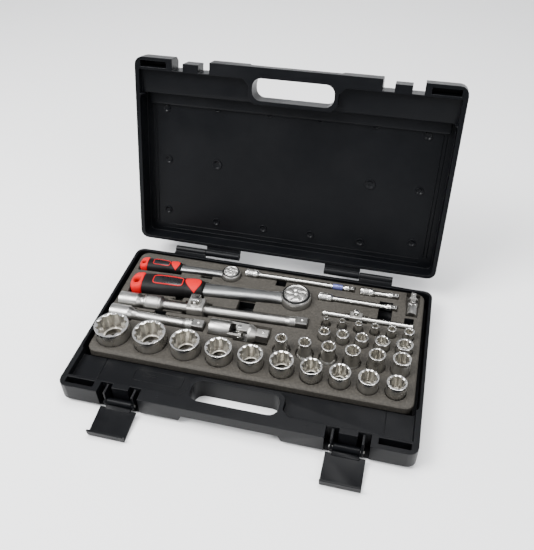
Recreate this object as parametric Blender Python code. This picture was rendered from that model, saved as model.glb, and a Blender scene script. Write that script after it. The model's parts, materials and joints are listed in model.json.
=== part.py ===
"""A half-inch and quarter-inch socket wrench set lying open in its carrying case.

Metres, +Z up, +Y to the hinge side. The origin is the middle of the underside of the case base. Every loose
tool stands or lies in its own pocket of the tray. Each pocket is cut from the same sizes as its tool.
"""

import math

import bmesh
import bpy
from mathutils import Matrix, Vector

# Gaps
GAP = 0.0004  # between pieces that touch
POCKET_GAP = 0.0008  # round a tool in its tray pocket
OVERLAP = 0.001  # of two shapes that a join makes one
BEYOND = 0.01  # how far a cutter runs past what it cuts

# Case base
CASE_WIDTH = 0.420
CASE_DEPTH = 0.256
BASE_HEIGHT = 0.0295
WALL = 0.004
FLOOR = 0.0025
CORNER_RADIUS = 0.011
EDGE_SLOPE = 0.005  # the sloped outer edge of base and lid
SHELF_SIDE = 0.003  # between the front shelf and the side wall
SHELF_DROP = 0.0095  # the front shelf below the rim
FRONT_RIM = 0.0175  # the rim plate along the front
HANDLE_HALF = 0.0523
HANDLE_NEAR = 0.0147  # the slot's front and back, from the front face
HANDLE_FAR = 0.044
HANDLE_RADIUS = 0.011
HANDLE_RIM = 0.005  # the raised rim round the slot
HANDLE_RIM_CORNER = 0.008
BAR_HEIGHT = 0.016  # of the handle bar
BAR_HALF = 0.057
BAR_SLOPE = 0.010
CORNER_SLOT_FROM = 0.167
CORNER_SLOT_TO = 0.202
CORNER_SLOT_NEAR = 0.0059
CORNER_SLOT_FAR = 0.0137

# Case lid
LID_DEPTH = 0.0265
LID_SETBACK = 0.003  # the lid's front edge behind the base's
LID_WALL = 0.006
LID_PANEL = 0.0025
LID_OPEN = math.radians(105.6)
LID_SHELF = 0.049  # the raised front part, from the base's front face
LID_SHELF_DROP = 0.009
LID_FRONT_RIM = 0.0155
LID_BAR_HEIGHT = 0.014

# Hinges
HINGE_BEHIND = 0.0104
HINGE_INNER = 0.061
HINGE_SPLIT = 0.110
HINGE_OUTER = 0.1554
HINGE_KNUCKLE = 0.0098
HINGE_PIN = 0.004
HINGE_PIN_SHORT = 0.001  # each pin end inside its knuckles
HINGE_BRACKET = 0.009  # from the axis to the bracket's far side at the case wall

# Latches
LATCH_CENTRE = 0.134
LATCH_POCKET = 0.050
LATCH_POCKET_DEEP = 0.0157
LATCH_WIDTH = 0.045
LATCH_REACH = 0.0445
LATCH_PLATE = 0.0025
LATCH_LIP = 0.0105
LATCH_PIN = 0.003
LATCH_KNUCKLE = 0.0088
LATCH_PIVOT_IN = 0.0035  # the pivot behind the front face
LATCH_PIVOT_UP = 0.0108
LATCH_CLEAR = 0.00098  # under an open latch's free end
LATCH_DROOP = math.asin((LATCH_PIVOT_UP - LATCH_KNUCKLE / 2 - LATCH_CLEAR) / LATCH_REACH)
LATCH_PLATE_FROM = 0.0066  # from the pivot to the plate's near edge
LATCH_EDGE = 0.001
LATCH_RIB = 0.003
LATCH_RIB_DROP = 0.003  # the ribs' tops below the rim
LATCH_RIB_SPAN = 0.0315  # between the two ribs
CATCH_WIDTH = 0.021
CATCH_FRONT = 0.0075
CATCH_PLAY = 0.0007  # between the catch and the closed latch's lip
LUG_PLAY = 0.0015  # between the base's lug and the latch's barrel

# Tray
TRAY_SIDE = 0.0097  # from the case's outer side to the tray
TRAY_FRONT = 0.0586
TRAY_BACK = 0.0064
TRAY_TOP_DROP = 0.0005
TRAY_RADIUS = 0.011
TRAY_EDGE = 0.0015
TRAY_LEFT_X = TRAY_SIDE - CASE_WIDTH / 2
TRAY_RIGHT_X = -TRAY_LEFT_X
TRAY_FRONT_Y = TRAY_FRONT - CASE_DEPTH / 2
TRAY_BACK_Y = CASE_DEPTH / 2 - TRAY_BACK
TRAY_TOP = BASE_HEIGHT - TRAY_TOP_DROP

# Socket drives
HALF_INCH = 0.0127
QUARTER_INCH = 0.00635
DRIVE_PLAY = 0.0003
HALF_HOLE = HALF_INCH + 2 * DRIVE_PLAY
QUARTER_HOLE = QUARTER_INCH + 2 * DRIVE_PLAY
HALF_WALL = 0.0016  # outside the corners of a half-inch hole
QUARTER_WALL = 0.0011

# Sockets as (size across flats, outside diameter), from the left
FRONT_ROW = (
    (0.032, 0.0430),
    (0.030, 0.0410),
    (0.027, 0.0365),
    (0.024, 0.0330),
    (0.022, 0.0305),
    (0.021, 0.0290),
    (0.019, 0.0258),
    (0.018, 0.0253),
    (0.017, 0.0240),
    (0.016, 0.0232),
)
SECOND_ROW = (
    (0.010, 0.0150),
    (0.011, 0.0158),
    (0.012, 0.0172),
    (0.013, 0.0185),
    (0.014, 0.0200),
    (0.015, 0.0216),
)
THIRD_ROW = (
    (0.009, 0.0149),
    (0.010, 0.0160),
    (0.011, 0.0167),
    (0.012, 0.0188),
    (0.013, 0.0204),
)
FOURTH_ROW = (
    (0.004, 0.0069),
    (0.005, 0.0076),
    (0.0055, 0.0092),
    (0.006, 0.0095),
    (0.007, 0.0111),
    (0.008, 0.0129),
)
SOCKET_BEVEL = 0.0006
SOCKET_WAIST = 0.38  # a share of the socket's length
SOCKET_WAIST_SLOPE = 0.003
SOCKET_FLOOR = 0.52  # the nut hole's floor, as a share of the length
SOCKET_SHELF = 0.8  # the widest square through a nut hole's floor, as a share of the nut
SOCKET_SHELF_THICK = 0.002
SQUARE_DEEP = 0.9  # the square hole's depth, as a share of the drive
SQUARE_DEEP_MORE = 0.004
FRONT_ROW_LINE = 0.0091  # the front row's near edge, from the tray's front
FRONT_ROW_LEFT = 0.0026
FRONT_ROW_RIGHT = 0.0109
FRONT_ROW_PROUD = 0.018
HALF_LONG_LENGTH = 0.042  # front row sockets of 27 mm and over
HALF_LENGTH = 0.038
LONG_FROM = 0.027
SECOND_ROW_Y = 0.0538  # row centre lines, from the tray's front
SECOND_ROW_PROUD = 0.022
SECOND_ROW_BASE = HALF_HOLE * math.sqrt(2) + 2 * HALF_WALL
SECOND_ROW_LEFT = 0.1647  # first and last centres, from the tray's right side
SECOND_ROW_RIGHT = 0.0203
THIRD_ROW_Y = 0.0860
THIRD_ROW_LEFT = 0.1174
THIRD_ROW_RIGHT = 0.0188
FOURTH_ROW_Y = 0.1085
FOURTH_ROW_LEFT = 0.1191
FOURTH_ROW_RIGHT = 0.0155
QUARTER_LENGTH = 0.025
QUARTER_PROUD = 0.012
QUARTER_BASE = QUARTER_HOLE * math.sqrt(2) + 2 * QUARTER_WALL

# Ratchets as lengths from the middle of the head
RATCHETS = {
    "half": dict(
        drive=HALF_INCH, reach=0.2264, head=0.040, height=0.020, lift=0.001, dial=0.0322, dial_out=0.002,
        neck=0.020, wrist=0.017, thick=0.013, grip_at=0.124, cap_at=0.2085, grip_wide=0.033, grip_high=0.025,
        tang=0.013, stem=0.018, drive_long=0.0145, hole=0.008,
    ),
    "quarter": dict(
        drive=QUARTER_INCH, reach=0.1315, head=0.0264, height=0.013, lift=0.0005, dial=0.0205,
        dial_out=0.0015, neck=0.012, wrist=0.010, thick=0.008, grip_at=0.071, cap_at=0.1195,
        grip_wide=0.0215, grip_high=0.017, tang=0.0075, stem=0.0095, drive_long=0.0075, hole=0.005,
    ),
}
HALF_RATCHET_X = 0.2355  # head centres, from the tray's left side and back
HALF_RATCHET_Y = 0.0487
HALF_RATCHET_TILT = math.radians(4.6)
QUARTER_RATCHET_X = 0.1383
QUARTER_RATCHET_Y = 0.0214
QUARTER_RATCHET_TILT = math.radians(2.35)
DIAL_DEEP = 0.003
DIAL_EDGE = 0.0005
TANG_END = 0.0015
TANG_JOIN = 0.004  # the tang's start inside the shaft
CAP_PLUG = 0.005  # the end cap's plug inside the grip
SHAFT_IN_HEAD = 0.003
SHAFT_CORNER = 0.8  # its corner radius as a share of half its thickness
WRIST_AT = 0.45  # the shaft's narrowest place, as a share of its length
COLLAR = 0.0005  # under the head, above the square drive
STEM_PLAY = 0.0012
GRIP_SHAPE = ((0.0, 0.74, 0.76), (0.10, 0.86, 0.86), (0.30, 0.84, 0.88), (0.65, 1.0, 1.0), (1.0, 0.96, 0.94))
CAP_SHAPE = ((0.0, 0.96, 0.94), (0.6, 0.88, 0.82), (1.0, 0.42, 0.45))
CAP_HOLE_AT = 0.52

# Half-inch bars
HALF_FEMALE = HALF_HOLE * math.sqrt(2) + 2 * HALF_WALL
HALF_FEMALE_LONG = 0.030
HALF_FEMALE_DEEP = 0.016
HALF_BAR = 0.0128
HALF_SHOULDER = 0.003  # the step between the female end and the bar
HALF_SHOULDER_SLOPE = 0.005
HALF_NECK_LONG = 0.008
HALF_COLLAR = 0.0225
HALF_COLLAR_LONG = 0.022
COLLAR_SLOPE = 0.004
HALF_MALE_NECK = 0.016
HALF_SQUARE_LONG = 0.0155
SQUARE_BEVEL = 0.001
SHORT_BAR_LENGTH = 0.127
SHORT_BAR_X = 0.0049
SHORT_BAR_Y = 0.0690
BARS_APART = 0.0018  # between the female ends of the two bars
LONG_BAR_LENGTH = 0.252
LONG_BAR_X = 0.0073
LONG_BAR_Y = SHORT_BAR_Y + HALF_FEMALE + BARS_APART
LONG_BAR_TILT = math.radians(2.43)
HALF_BAR_DROP = 0.001  # bar axes below the tray's top
T_HEAD_AT = 0.105
T_HEAD_LONG = 0.0225
T_HEAD_WIDE = 0.0235
T_HEAD_DRIVE = 0.011
T_HEAD_TRAVEL = 0.006
T_HEAD_CORNER = 0.2  # a share of its width

# Quarter-inch bars
QUARTER_FEMALE = QUARTER_BASE
QUARTER_FEMALE_LONG = 0.016
QUARTER_FEMALE_DEEP = 0.009
QUARTER_BAR = 0.0064
QUARTER_SHOULDER = 0.003
QUARTER_NECK = 0.0018  # wider than the bar
QUARTER_NECK_LONG = 0.005
BAR_PLAY = 0.0005
QUARTER_SQUARE_LONG = 0.008
QUARTER_BARS = (
    ("extension_quarter_150mm", 0.151, 0.1573, 0.0117),
    ("extension_quarter_100mm", 0.103, 0.2639, 0.0351),
    ("extension_quarter_50mm", 0.050, 0.3166, 0.0127),
)
T_BAR_LENGTH = 0.115
T_BAR_X = 0.1261  # from the tray's right side
T_BAR_Y = 0.0640  # from the tray's back
T_BAR_END = 0.008
T_BAR_END_LONG = 0.004
T_BAR_BEVEL = 0.0006
SMALL_HEAD_AT = 0.0429
SMALL_HEAD_LONG = 0.0157
SMALL_HEAD_WIDE = 0.012
SMALL_HEAD_DRIVE = 0.0075

# Universal joints, along their own axis from the female end
JOINTS = {
    "half": dict(
        drive=HALF_INCH, body=0.024, bore=0.015, barrel=0.027, pivot=0.039, arm=0.0032, arm_wide=0.012,
        arm_end=0.005, shoulder=0.0115, square_at=0.0605, length=0.0765, cross=0.010, pin=0.0056,
    ),
    "quarter": dict(
        drive=QUARTER_INCH, body=0.0130, bore=0.008, barrel=0.0150, pivot=0.0215, arm=0.0018,
        arm_wide=0.0064, arm_end=0.0027, shoulder=0.0062, square_at=0.0340, length=0.042,
        cross=0.0052, pin=0.0030,
    ),
}
HALF_JOINT_X = 0.1397  # from the tray's left side
HALF_JOINT_Y = 0.0709  # from the tray's front
QUARTER_JOINT_X = 0.0147  # from the tray's right side
QUARTER_JOINT_Y = 0.0024  # the male end, from the tray's back
JOINT_ARM_IN = 0.0008  # the yoke arms inside the round body
JOINT_RIM = 0.0025
JOINT_NECK = 1.25  # times the square drive
JOINT_SWAY = math.radians(8)  # sideways play that the pockets give

# Finger wells beside the tools, as (x from left or right side, y from back, width, depth)
WELLS_LEFT = (
    (0.1060, 0.0312, 0.0166, 0.0069),
    (0.2091, 0.0220, 0.0136, 0.0097),
    (0.1734, 0.0727, 0.0225, 0.0215),
    (0.1730, 0.1060, 0.0253, 0.0062),
    (0.0675, 0.1116, 0.0157, 0.0069),
    (0.0830, 0.0800, 0.0110, 0.0080),
)
WELLS_RIGHT = (
    (0.0479, 0.0425, 0.0176, 0.0332),
    (0.0167, 0.0556, 0.0117, 0.0127),
)
WELL_DEEP = 0.018

BLACK = (0.020, 0.021, 0.023)
DARK = (0.030, 0.030, 0.032)
TRAY_GREY = (0.150, 0.138, 0.125)
STEEL = (0.560, 0.555, 0.540)
BRIGHT = (0.720, 0.715, 0.700)
RED = (0.780, 0.045, 0.040)


# Outlines and solids


def clear_scene():
    for old in list(bpy.data.objects):
        bpy.data.objects.remove(old, do_unlink=True)


def material(name, colour, metallic, roughness):
    made = bpy.data.materials.get(name) or bpy.data.materials.new(name)
    made.use_nodes = True
    shader = made.node_tree.nodes["Principled BSDF"]
    shader.inputs["Base Color"].default_value = (*colour, 1.0)
    shader.inputs["Metallic"].default_value = metallic
    shader.inputs["Roughness"].default_value = roughness
    return made


def shell_black():
    return material("shell_black", BLACK, 0.0, 0.45)


def polished():
    return material("polished_chrome", BRIGHT, 1.0, 0.12)


def satin():
    return material("satin_steel", STEEL, 1.0, 0.35)


def across(kind, size, angle):
    """Distance from the middle to the edge, at an angle, of a circle, square, hexagon or double hexagon."""
    if kind == "square":
        return size / 2 / max(abs(math.cos(angle)), abs(math.sin(angle)))
    if kind == "hex":
        within = (angle - math.radians(15)) % (math.pi / 3) - math.pi / 6
        return size / 2 / math.cos(within)
    if kind == "star":
        within = angle % (math.pi / 6)
        return size / 2 / math.cos(min(within, math.pi / 6 - within) - math.pi / 6)
    return size / 2


def loop_points(kind, size, along, sides, turn):
    points = []
    for step in range(sides):
        angle = 2 * math.pi * step / sides + turn
        reach = across(kind, size, angle)
        points.append((reach * math.cos(angle), reach * math.sin(angle), along))
    return points


def mesh_object(name, build, look):
    """An object whose mesh build(bm) makes, with every face turned outwards."""
    mesh = bpy.data.meshes.new(name)
    bm = bmesh.new()
    build(bm)
    bmesh.ops.recalc_face_normals(bm, faces=bm.faces)
    bm.to_mesh(mesh)
    bm.free()
    mesh.shade_smooth()
    mesh.set_sharp_from_angle(angle=math.radians(30))
    made = bpy.data.objects.new(name, mesh)
    bpy.context.scene.collection.objects.link(made)
    if look:
        mesh.materials.append(look)
    return made


def skin(name, loops, look=None, ring=False):
    """Loops of points joined in turn. A ring joins the last to the first, or else both ends are capped."""

    def build(bm):
        rows = [[bm.verts.new(point) for point in loop] for loop in loops]
        pairs = list(zip(rows, rows[1:]))
        if ring:
            pairs.append((rows[-1], rows[0]))
        for low, high in pairs:
            for here in range(len(low)):
                there = (here + 1) % len(low)
                bm.faces.new((low[here], low[there], high[there], high[here]))
        if not ring:
            bm.faces.new(rows[0])
            bm.faces.new(rows[-1])

    return mesh_object(name, build, look)


def turned(name, sections, look=None, ring=False, sides=24):
    """A solid round +Z from sections of (kind, height, size across)."""
    turn = math.radians(15) if sides == 12 else 0.0
    loops = [loop_points(kind, size, along, sides, turn) for kind, along, size in sections]
    return skin(name, loops, look, ring)


def along_x(solid):
    """Lays a solid made round +Z along +X."""
    solid.data.transform(Matrix(((0, 0, 1, 0), (1, 0, 0, 0), (0, 1, 0, 0), (0, 0, 0, 1))))
    return solid


def prism(name, outline, low, high, look=None):
    return skin(name, [[(x, y, z) for x, y in outline] for z in (low, high)], look)


def side_prism(name, outline, left, right, look=None):
    """A prism along X whose outline is in Y and Z."""
    return skin(name, [[(x, y, z) for y, z in outline] for x in (left, right)], look)


def rectangle(left, right, near, far):
    return [(left, near), (right, near), (right, far), (left, far)]


def rounded(left, right, near, far, radius, steps=4):
    """A rectangle with each corner an arc."""
    points = []
    corners = ((right - radius, far - radius, 0), (left + radius, far - radius, 1))
    corners += ((left + radius, near + radius, 2), (right - radius, near + radius, 3))
    for x, y, quarter in corners:
        for step in range(steps + 1):
            angle = math.pi / 2 * (quarter + step / steps)
            points.append((x + radius * math.cos(angle), y + radius * math.sin(angle)))
    return points


def box(name, left, right, near, far, low, high, look=None):
    return prism(name, rectangle(left, right, near, far), low, high, look)


def rod(name, left, right, y, z, diameter, look=None, sides=16):
    """A round rod along X."""
    made = along_x(turned(name, (("round", left, diameter), ("round", right, diameter)), look, sides=sides))
    made.data.transform(Matrix.Translation((0, y, z)))
    return made


def hide(tool):
    tool.hide_render = True
    tool.display_type = "WIRE"


def boolean(solid, operation, tools):
    for tool in tools:
        hide(tool)
        step = solid.modifiers.new(operation.lower(), "BOOLEAN")
        step.operation = operation
        step.object = tool


def cut(solid, *tools):
    boolean(solid, "DIFFERENCE", tools)


def add(solid, *tools):
    boolean(solid, "UNION", tools)


def frame(name, place, turn=(0, 0, 0)):
    made = bpy.data.objects.new(name, None)
    made.location = place
    made.rotation_euler = turn
    bpy.context.scene.collection.objects.link(made)
    return made


def put(parent, *solids):
    """Parents solids drawn round the parent's own origin."""
    for solid in solids:
        solid.parent = parent


# Case


def front(distance):
    """Y of a line a distance behind the case's front face."""
    return distance - CASE_DEPTH / 2


def latch_ribs(side):
    """The two ribs in a latch pocket that hold its pin, with rounded noses."""
    made = []
    pivot_y = front(LATCH_PIVOT_IN)
    for name, inner in (("left", -1), ("right", 1)):
        near = side * LATCH_CENTRE + inner * LATCH_RIB_SPAN / 2
        ends = sorted((near, near + inner * LATCH_RIB))
        rear = front(LATCH_POCKET_DEEP + OVERLAP)
        face = pivot_y - LATCH_KNUCKLE / 2 + LATCH_PLATE + 2 * GAP
        top = BASE_HEIGHT - LATCH_RIB_DROP
        made.append(box(f"rib_{name}_{side}", *ends, face, rear, FLOOR / 2, top))
        made.append(rod(f"nose_{name}_{side}", *ends, pivot_y, LATCH_PIVOT_UP, LATCH_KNUCKLE))
    return made


def base_cutters():
    half = CASE_WIDTH / 2
    top = BASE_HEIGHT + BEYOND
    shelf = BASE_HEIGHT - SHELF_DROP
    behind = CASE_DEPTH / 2 - WALL
    inside = rounded(WALL - half, half - WALL, TRAY_FRONT_Y - OVERLAP, behind, CORNER_RADIUS - WALL)
    recess = shelf_outline(half - WALL - SHELF_SIDE, front(FRONT_RIM), TRAY_FRONT_Y)
    tools = [
        prism("cavity", inside, FLOOR, top),
        prism("shelf", recess, shelf, top),
        prism("slot", handle_outline(HANDLE_NEAR), -BEYOND, top),
    ]
    bar_low = BASE_HEIGHT - BAR_HEIGHT
    tools.append(bar_relief("under_bar", -BEYOND, bar_low, HANDLE_NEAR + OVERLAP))
    for side in (-1, 1):
        middle = side * LATCH_CENTRE
        wide = LATCH_POCKET / 2
        pocket = rectangle(middle - wide, middle + wide, front(-BEYOND), front(LATCH_POCKET_DEEP))
        tools.append(prism(f"latch_pocket_{side}", pocket, FLOOR, top))
        ends = sorted((side * CORNER_SLOT_FROM, side * CORNER_SLOT_TO))
        slot = rectangle(*ends, front(CORNER_SLOT_NEAR), front(CORNER_SLOT_FAR))
        tools.append(prism(f"corner_slot_{side}", slot, 2 * FLOOR, top))
    return tools


def shelf_outline(half, near, far):
    """The recess along the front, which leaves a raised rim round the handle slot."""
    rim = HANDLE_HALF + HANDLE_RIM
    rear = front(HANDLE_FAR + HANDLE_RIM)
    corner = HANDLE_RIM_CORNER
    right = [(rim - corner, rear), (rim, rear - corner), (rim, near + corner), (rim + corner, near)]
    left = [(-x, y) for x, y in reversed(right)]
    return [(-half, near), *left, *right, (half, near), (half, far), (-half, far)]


def handle_outline(near):
    return rounded(-HANDLE_HALF, HANDLE_HALF, front(near), front(HANDLE_FAR), HANDLE_RADIUS)


def bar_relief(name, low, high, reach):
    """What is cut away outside the handle bar, with sloping ends."""
    outside, inside = (low, high) if low < 0 else (high, low)
    wide = BAR_HALF + BAR_SLOPE
    outline = [(-wide, outside), (wide, outside), (BAR_HALF, inside), (-BAR_HALF, inside)]
    loops = [[(x, y, z) for x, z in outline] for y in (front(-BEYOND), front(reach))]
    return skin(name, loops)


def hinge_y():
    return CASE_DEPTH / 2 + HINGE_BEHIND


def hinge_z():
    return BASE_HEIGHT + GAP / 2


def arc(y, z, radius, start, end, steps):
    """Points of an arc in Y and Z, with its angles in degrees from +Y towards +Z."""
    points = []
    for step in range(steps + 1):
        angle = math.radians(start + (end - start) * step / steps)
        points.append((y + radius * math.cos(angle), z + radius * math.sin(angle)))
    return points


def knuckles(name, ends, upward):
    """A hinge's bracket and barrel at each end, above the axis when upward is 1, or else under it."""
    made = []
    wall, radius = CASE_DEPTH / 2 - WALL / 2, HINGE_KNUCKLE / 2
    near, far = hinge_z() + upward * OVERLAP, hinge_z() + upward * HINGE_BRACKET
    barrel = arc(hinge_y(), hinge_z(), radius, 180 * upward, 450 * upward, 12)
    for side in (-1, 1):
        span = sorted(side * end for end in ends)
        made.append(side_prism(f"{name}_knuckle_{side}", [(wall, far), (wall, near), *barrel], *span))
    return made


def pin_holes(name, diameter):
    holes = []
    for side in (-1, 1):
        span = sorted((side * (HINGE_INNER - BEYOND), side * (HINGE_OUTER + BEYOND)))
        holes.append(rod(f"{name}_hole_{side}", *span, hinge_y(), hinge_z(), diameter))
    return holes


def case_base():
    half_w, half_d = CASE_WIDTH / 2, CASE_DEPTH / 2
    outline = rounded(-half_w, half_w, -half_d, half_d, CORNER_RADIUS)
    inset = [(x * (1 - EDGE_SLOPE / half_w), y * (1 - EDGE_SLOPE / half_d)) for x, y in outline]
    loops = [[(x, y, 0) for x, y in inset], [(x, y, EDGE_SLOPE) for x, y in outline]]
    loops.append([(x, y, BASE_HEIGHT) for x, y in outline])
    base = skin("case_base", loops, shell_black())
    cut(base, *base_cutters())
    for side in (-1, 1):
        add(base, *latch_ribs(side))
        wide = CATCH_WIDTH / 2
        middle = side * LATCH_CENTRE
        near = front(LATCH_PIVOT_IN + LATCH_KNUCKLE / 2 + LUG_PLAY)
        far = front(LATCH_POCKET_DEEP + OVERLAP)
        add(base, box(f"lug_{side}", middle - wide, middle + wide, near, far, FLOOR / 2, BASE_HEIGHT))
    add(base, *knuckles("base", (HINGE_SPLIT + GAP, HINGE_OUTER), -1))
    cut(base, *pin_holes("base_pin", HINGE_PIN + 2 * GAP))
    for side in (-1, 1):
        middle = side * LATCH_CENTRE
        span = (middle - LATCH_POCKET / 2 + OVERLAP, middle + LATCH_POCKET / 2 - OVERLAP)
        place = (front(LATCH_PIVOT_IN), LATCH_PIVOT_UP)
        hole = rod(f"latch_hole_{side}", *span, *place, LATCH_PIN + 2 * GAP)
        cut(base, hole)
    return base


def lid_cutters(rim, face):
    half = CASE_WIDTH / 2
    low, high = rim - BEYOND, face + BEYOND
    inner = half - LID_WALL
    behind = CASE_DEPTH / 2 - WALL
    slot_near = HANDLE_NEAR + LID_SETBACK / 2
    inside = rounded(-inner, inner, front(LID_SHELF), behind, CORNER_RADIUS - WALL)
    recess = shelf_outline(inner, front(LID_SETBACK + LID_FRONT_RIM), front(LID_SHELF + OVERLAP))
    tools = [
        prism("lid_cavity", inside, low, face - LID_PANEL),
        prism("lid_shelf", recess, low, rim + LID_SHELF_DROP),
        prism("lid_slot", handle_outline(slot_near), low, high),
        bar_relief("lid_over_bar", rim + LID_BAR_HEIGHT, high, slot_near + OVERLAP),
    ]
    for side in (-1, 1):
        middle = side * LATCH_CENTRE
        wide = LATCH_POCKET / 2
        pocket_far = front(LATCH_POCKET_DEEP + LID_SETBACK / 2)
        pocket = rectangle(middle - wide, middle + wide, front(-BEYOND), pocket_far)
        tools.append(prism(f"lid_pocket_{side}", pocket, low, high))
        ends = sorted((side * CORNER_SLOT_FROM, side * CORNER_SLOT_TO))
        near, far = (front(edge + LID_SETBACK / 2) for edge in (CORNER_SLOT_NEAR, CORNER_SLOT_FAR))
        slot = rectangle(*ends, near, far)
        tools.append(prism(f"lid_corner_slot_{side}", slot, low, face - 2 * LID_PANEL))
    return tools


def case_lid(hinge):
    """The lid, drawn shut and then swung open on its hinge frame."""
    half_w, half_d = CASE_WIDTH / 2, CASE_DEPTH / 2
    rim = BASE_HEIGHT + GAP
    face = BASE_HEIGHT + LID_DEPTH
    outline = rounded(-half_w, half_w, LID_SETBACK - half_d, half_d, CORNER_RADIUS)
    inset = [(x * (1 - EDGE_SLOPE / half_w), y * (1 - EDGE_SLOPE / half_d)) for x, y in outline]
    loops = [[(x, y, rim) for x, y in outline], [(x, y, face - EDGE_SLOPE) for x, y in outline]]
    loops.append([(x, y, face) for x, y in inset])
    lid = skin("case_lid", loops, shell_black())
    tools = lid_cutters(rim, face)
    cut(lid, *tools)
    catches = []
    wide = CATCH_WIDTH / 2
    far = front(LATCH_POCKET_DEEP + LID_SETBACK / 2 + OVERLAP)
    top = LATCH_PIVOT_UP + LATCH_REACH - LATCH_PLATE - CATCH_PLAY
    for side in (-1, 1):
        left, right = side * LATCH_CENTRE - wide, side * LATCH_CENTRE + wide
        catches.append(box(f"catch_{side}", left, right, front(CATCH_FRONT), far, rim, top))
    brackets = knuckles("lid", (HINGE_INNER, HINGE_SPLIT), 1)
    add(lid, *catches, *brackets)
    holes = pin_holes("lid_pin", HINGE_PIN + 2 * GAP)
    cut(lid, *holes)
    for piece in (lid, *tools, *catches, *brackets, *holes):
        piece.data.transform(Matrix.Translation(-hinge.location))
        piece.parent = hinge
    return lid


def hinge_pins():
    for side, name in ((-1, "left"), (1, "right")):
        span = sorted((side * (HINGE_INNER + HINGE_PIN_SHORT), side * (HINGE_OUTER - HINGE_PIN_SHORT)))
        rod(f"hinge_pin_{name}", *span, hinge_y(), hinge_z(), HINGE_PIN, satin())


def latch(name, pivot):
    """A latch drawn shut round its own pivot, with its plate standing up in front of it."""
    half = LATCH_WIDTH / 2
    knuckle_half = LATCH_RIB_SPAN / 2 - GAP
    outside = -LATCH_KNUCKLE / 2
    inside = outside + LATCH_PLATE
    lip_low = LATCH_REACH - LATCH_PLATE
    inner = outside + LATCH_LIP
    outline = [(outside, LATCH_PLATE_FROM), (inside, LATCH_PLATE_FROM), (inside, lip_low), (inner, lip_low)]
    outline += [(inner, LATCH_REACH), (outside + LATCH_EDGE, LATCH_REACH)]
    outline += [(outside, LATCH_REACH - LATCH_EDGE)]
    plate = side_prism(name, outline, -half, half, shell_black())
    edge = inside + OVERLAP / 2
    turn = math.degrees(math.acos(edge / (LATCH_KNUCKLE / 2)))
    barrel_outline = arc(0, 0, LATCH_KNUCKLE / 2, turn, -180, 16)
    arm_to = LATCH_PLATE_FROM + 3 * OVERLAP
    barrel_outline += [(outside, arm_to), (edge, arm_to)]
    barrel = side_prism(name + "_barrel", barrel_outline, -knuckle_half, knuckle_half)
    hole = rod(name + "_hole", -half, half, 0, 0, LATCH_PIN + 2 * GAP)
    add(plate, barrel)
    cut(plate, hole)
    put(pivot, plate, barrel, hole)


def latches():
    for side, name in ((-1, "left"), (1, "right")):
        place = Vector((side * LATCH_CENTRE, front(LATCH_PIVOT_IN), LATCH_PIVOT_UP))
        pivot = frame(f"latch_pivot_{name}", place, (math.pi / 2 + LATCH_DROOP, 0, 0))
        latch(f"latch_{name}", pivot)
        reach = LATCH_RIB_SPAN / 2 + LATCH_RIB + OVERLAP
        span = (place.x - reach, place.x + reach)
        rod(f"latch_pin_{name}", *span, place.y, place.z, LATCH_PIN, satin(), sides=12)


# Tray


def tray():
    outline = rounded(TRAY_LEFT_X, TRAY_RIGHT_X, TRAY_FRONT_Y, TRAY_BACK_Y, TRAY_RADIUS)
    sharp = [(x, max(y, TRAY_FRONT_Y)) for x, y in outline]
    low = FLOOR + GAP
    shrink = 1 - TRAY_EDGE / TRAY_RIGHT_X
    edge = [(x * shrink, y - math.copysign(TRAY_EDGE, y), TRAY_TOP) for x, y in sharp]
    loops = [[(x, y, low) for x, y in sharp], [(x, y, TRAY_TOP - TRAY_EDGE) for x, y in sharp], edge]
    return skin("tray", loops, material("tray_grey", TRAY_GREY, 0.0, 0.85))


def round_pocket(x, y, diameter, bottom, sides):
    width = diameter + 2 * POCKET_GAP
    well = turned("pocket", (("round", bottom, width), ("round", TRAY_TOP + BEYOND, width)), sides=sides)
    well.location = (x, y, 0)
    return well


def channel(parent, left, right, half, bottom):
    """A pocket cut along a lying tool, in the tool's own frame, whose heights start at the tray's top."""
    sides = (left - POCKET_GAP, right + POCKET_GAP, -half - POCKET_GAP, half + POCKET_GAP)
    made = box("channel", *sides, bottom - GAP, BEYOND)
    put(parent, made)
    return made


def finger_wells():
    wells = []
    for x, y, width, deep in WELLS_LEFT:
        left = TRAY_LEFT_X + x - width / 2
        wells.append((left, TRAY_BACK_Y - y - deep / 2, width, deep))
    for x, y, width, deep in WELLS_RIGHT:
        left = TRAY_RIGHT_X - x - width / 2
        wells.append((left, TRAY_BACK_Y - y - deep / 2, width, deep))
    return [
        box("well", left, left + width, near, near + deep, TRAY_TOP - WELL_DEEP, TRAY_TOP + BEYOND)
        for left, near, width, deep in wells
    ]


# Sockets


def millimetres(size):
    return f"{size * 1000:g}mm"


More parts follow.
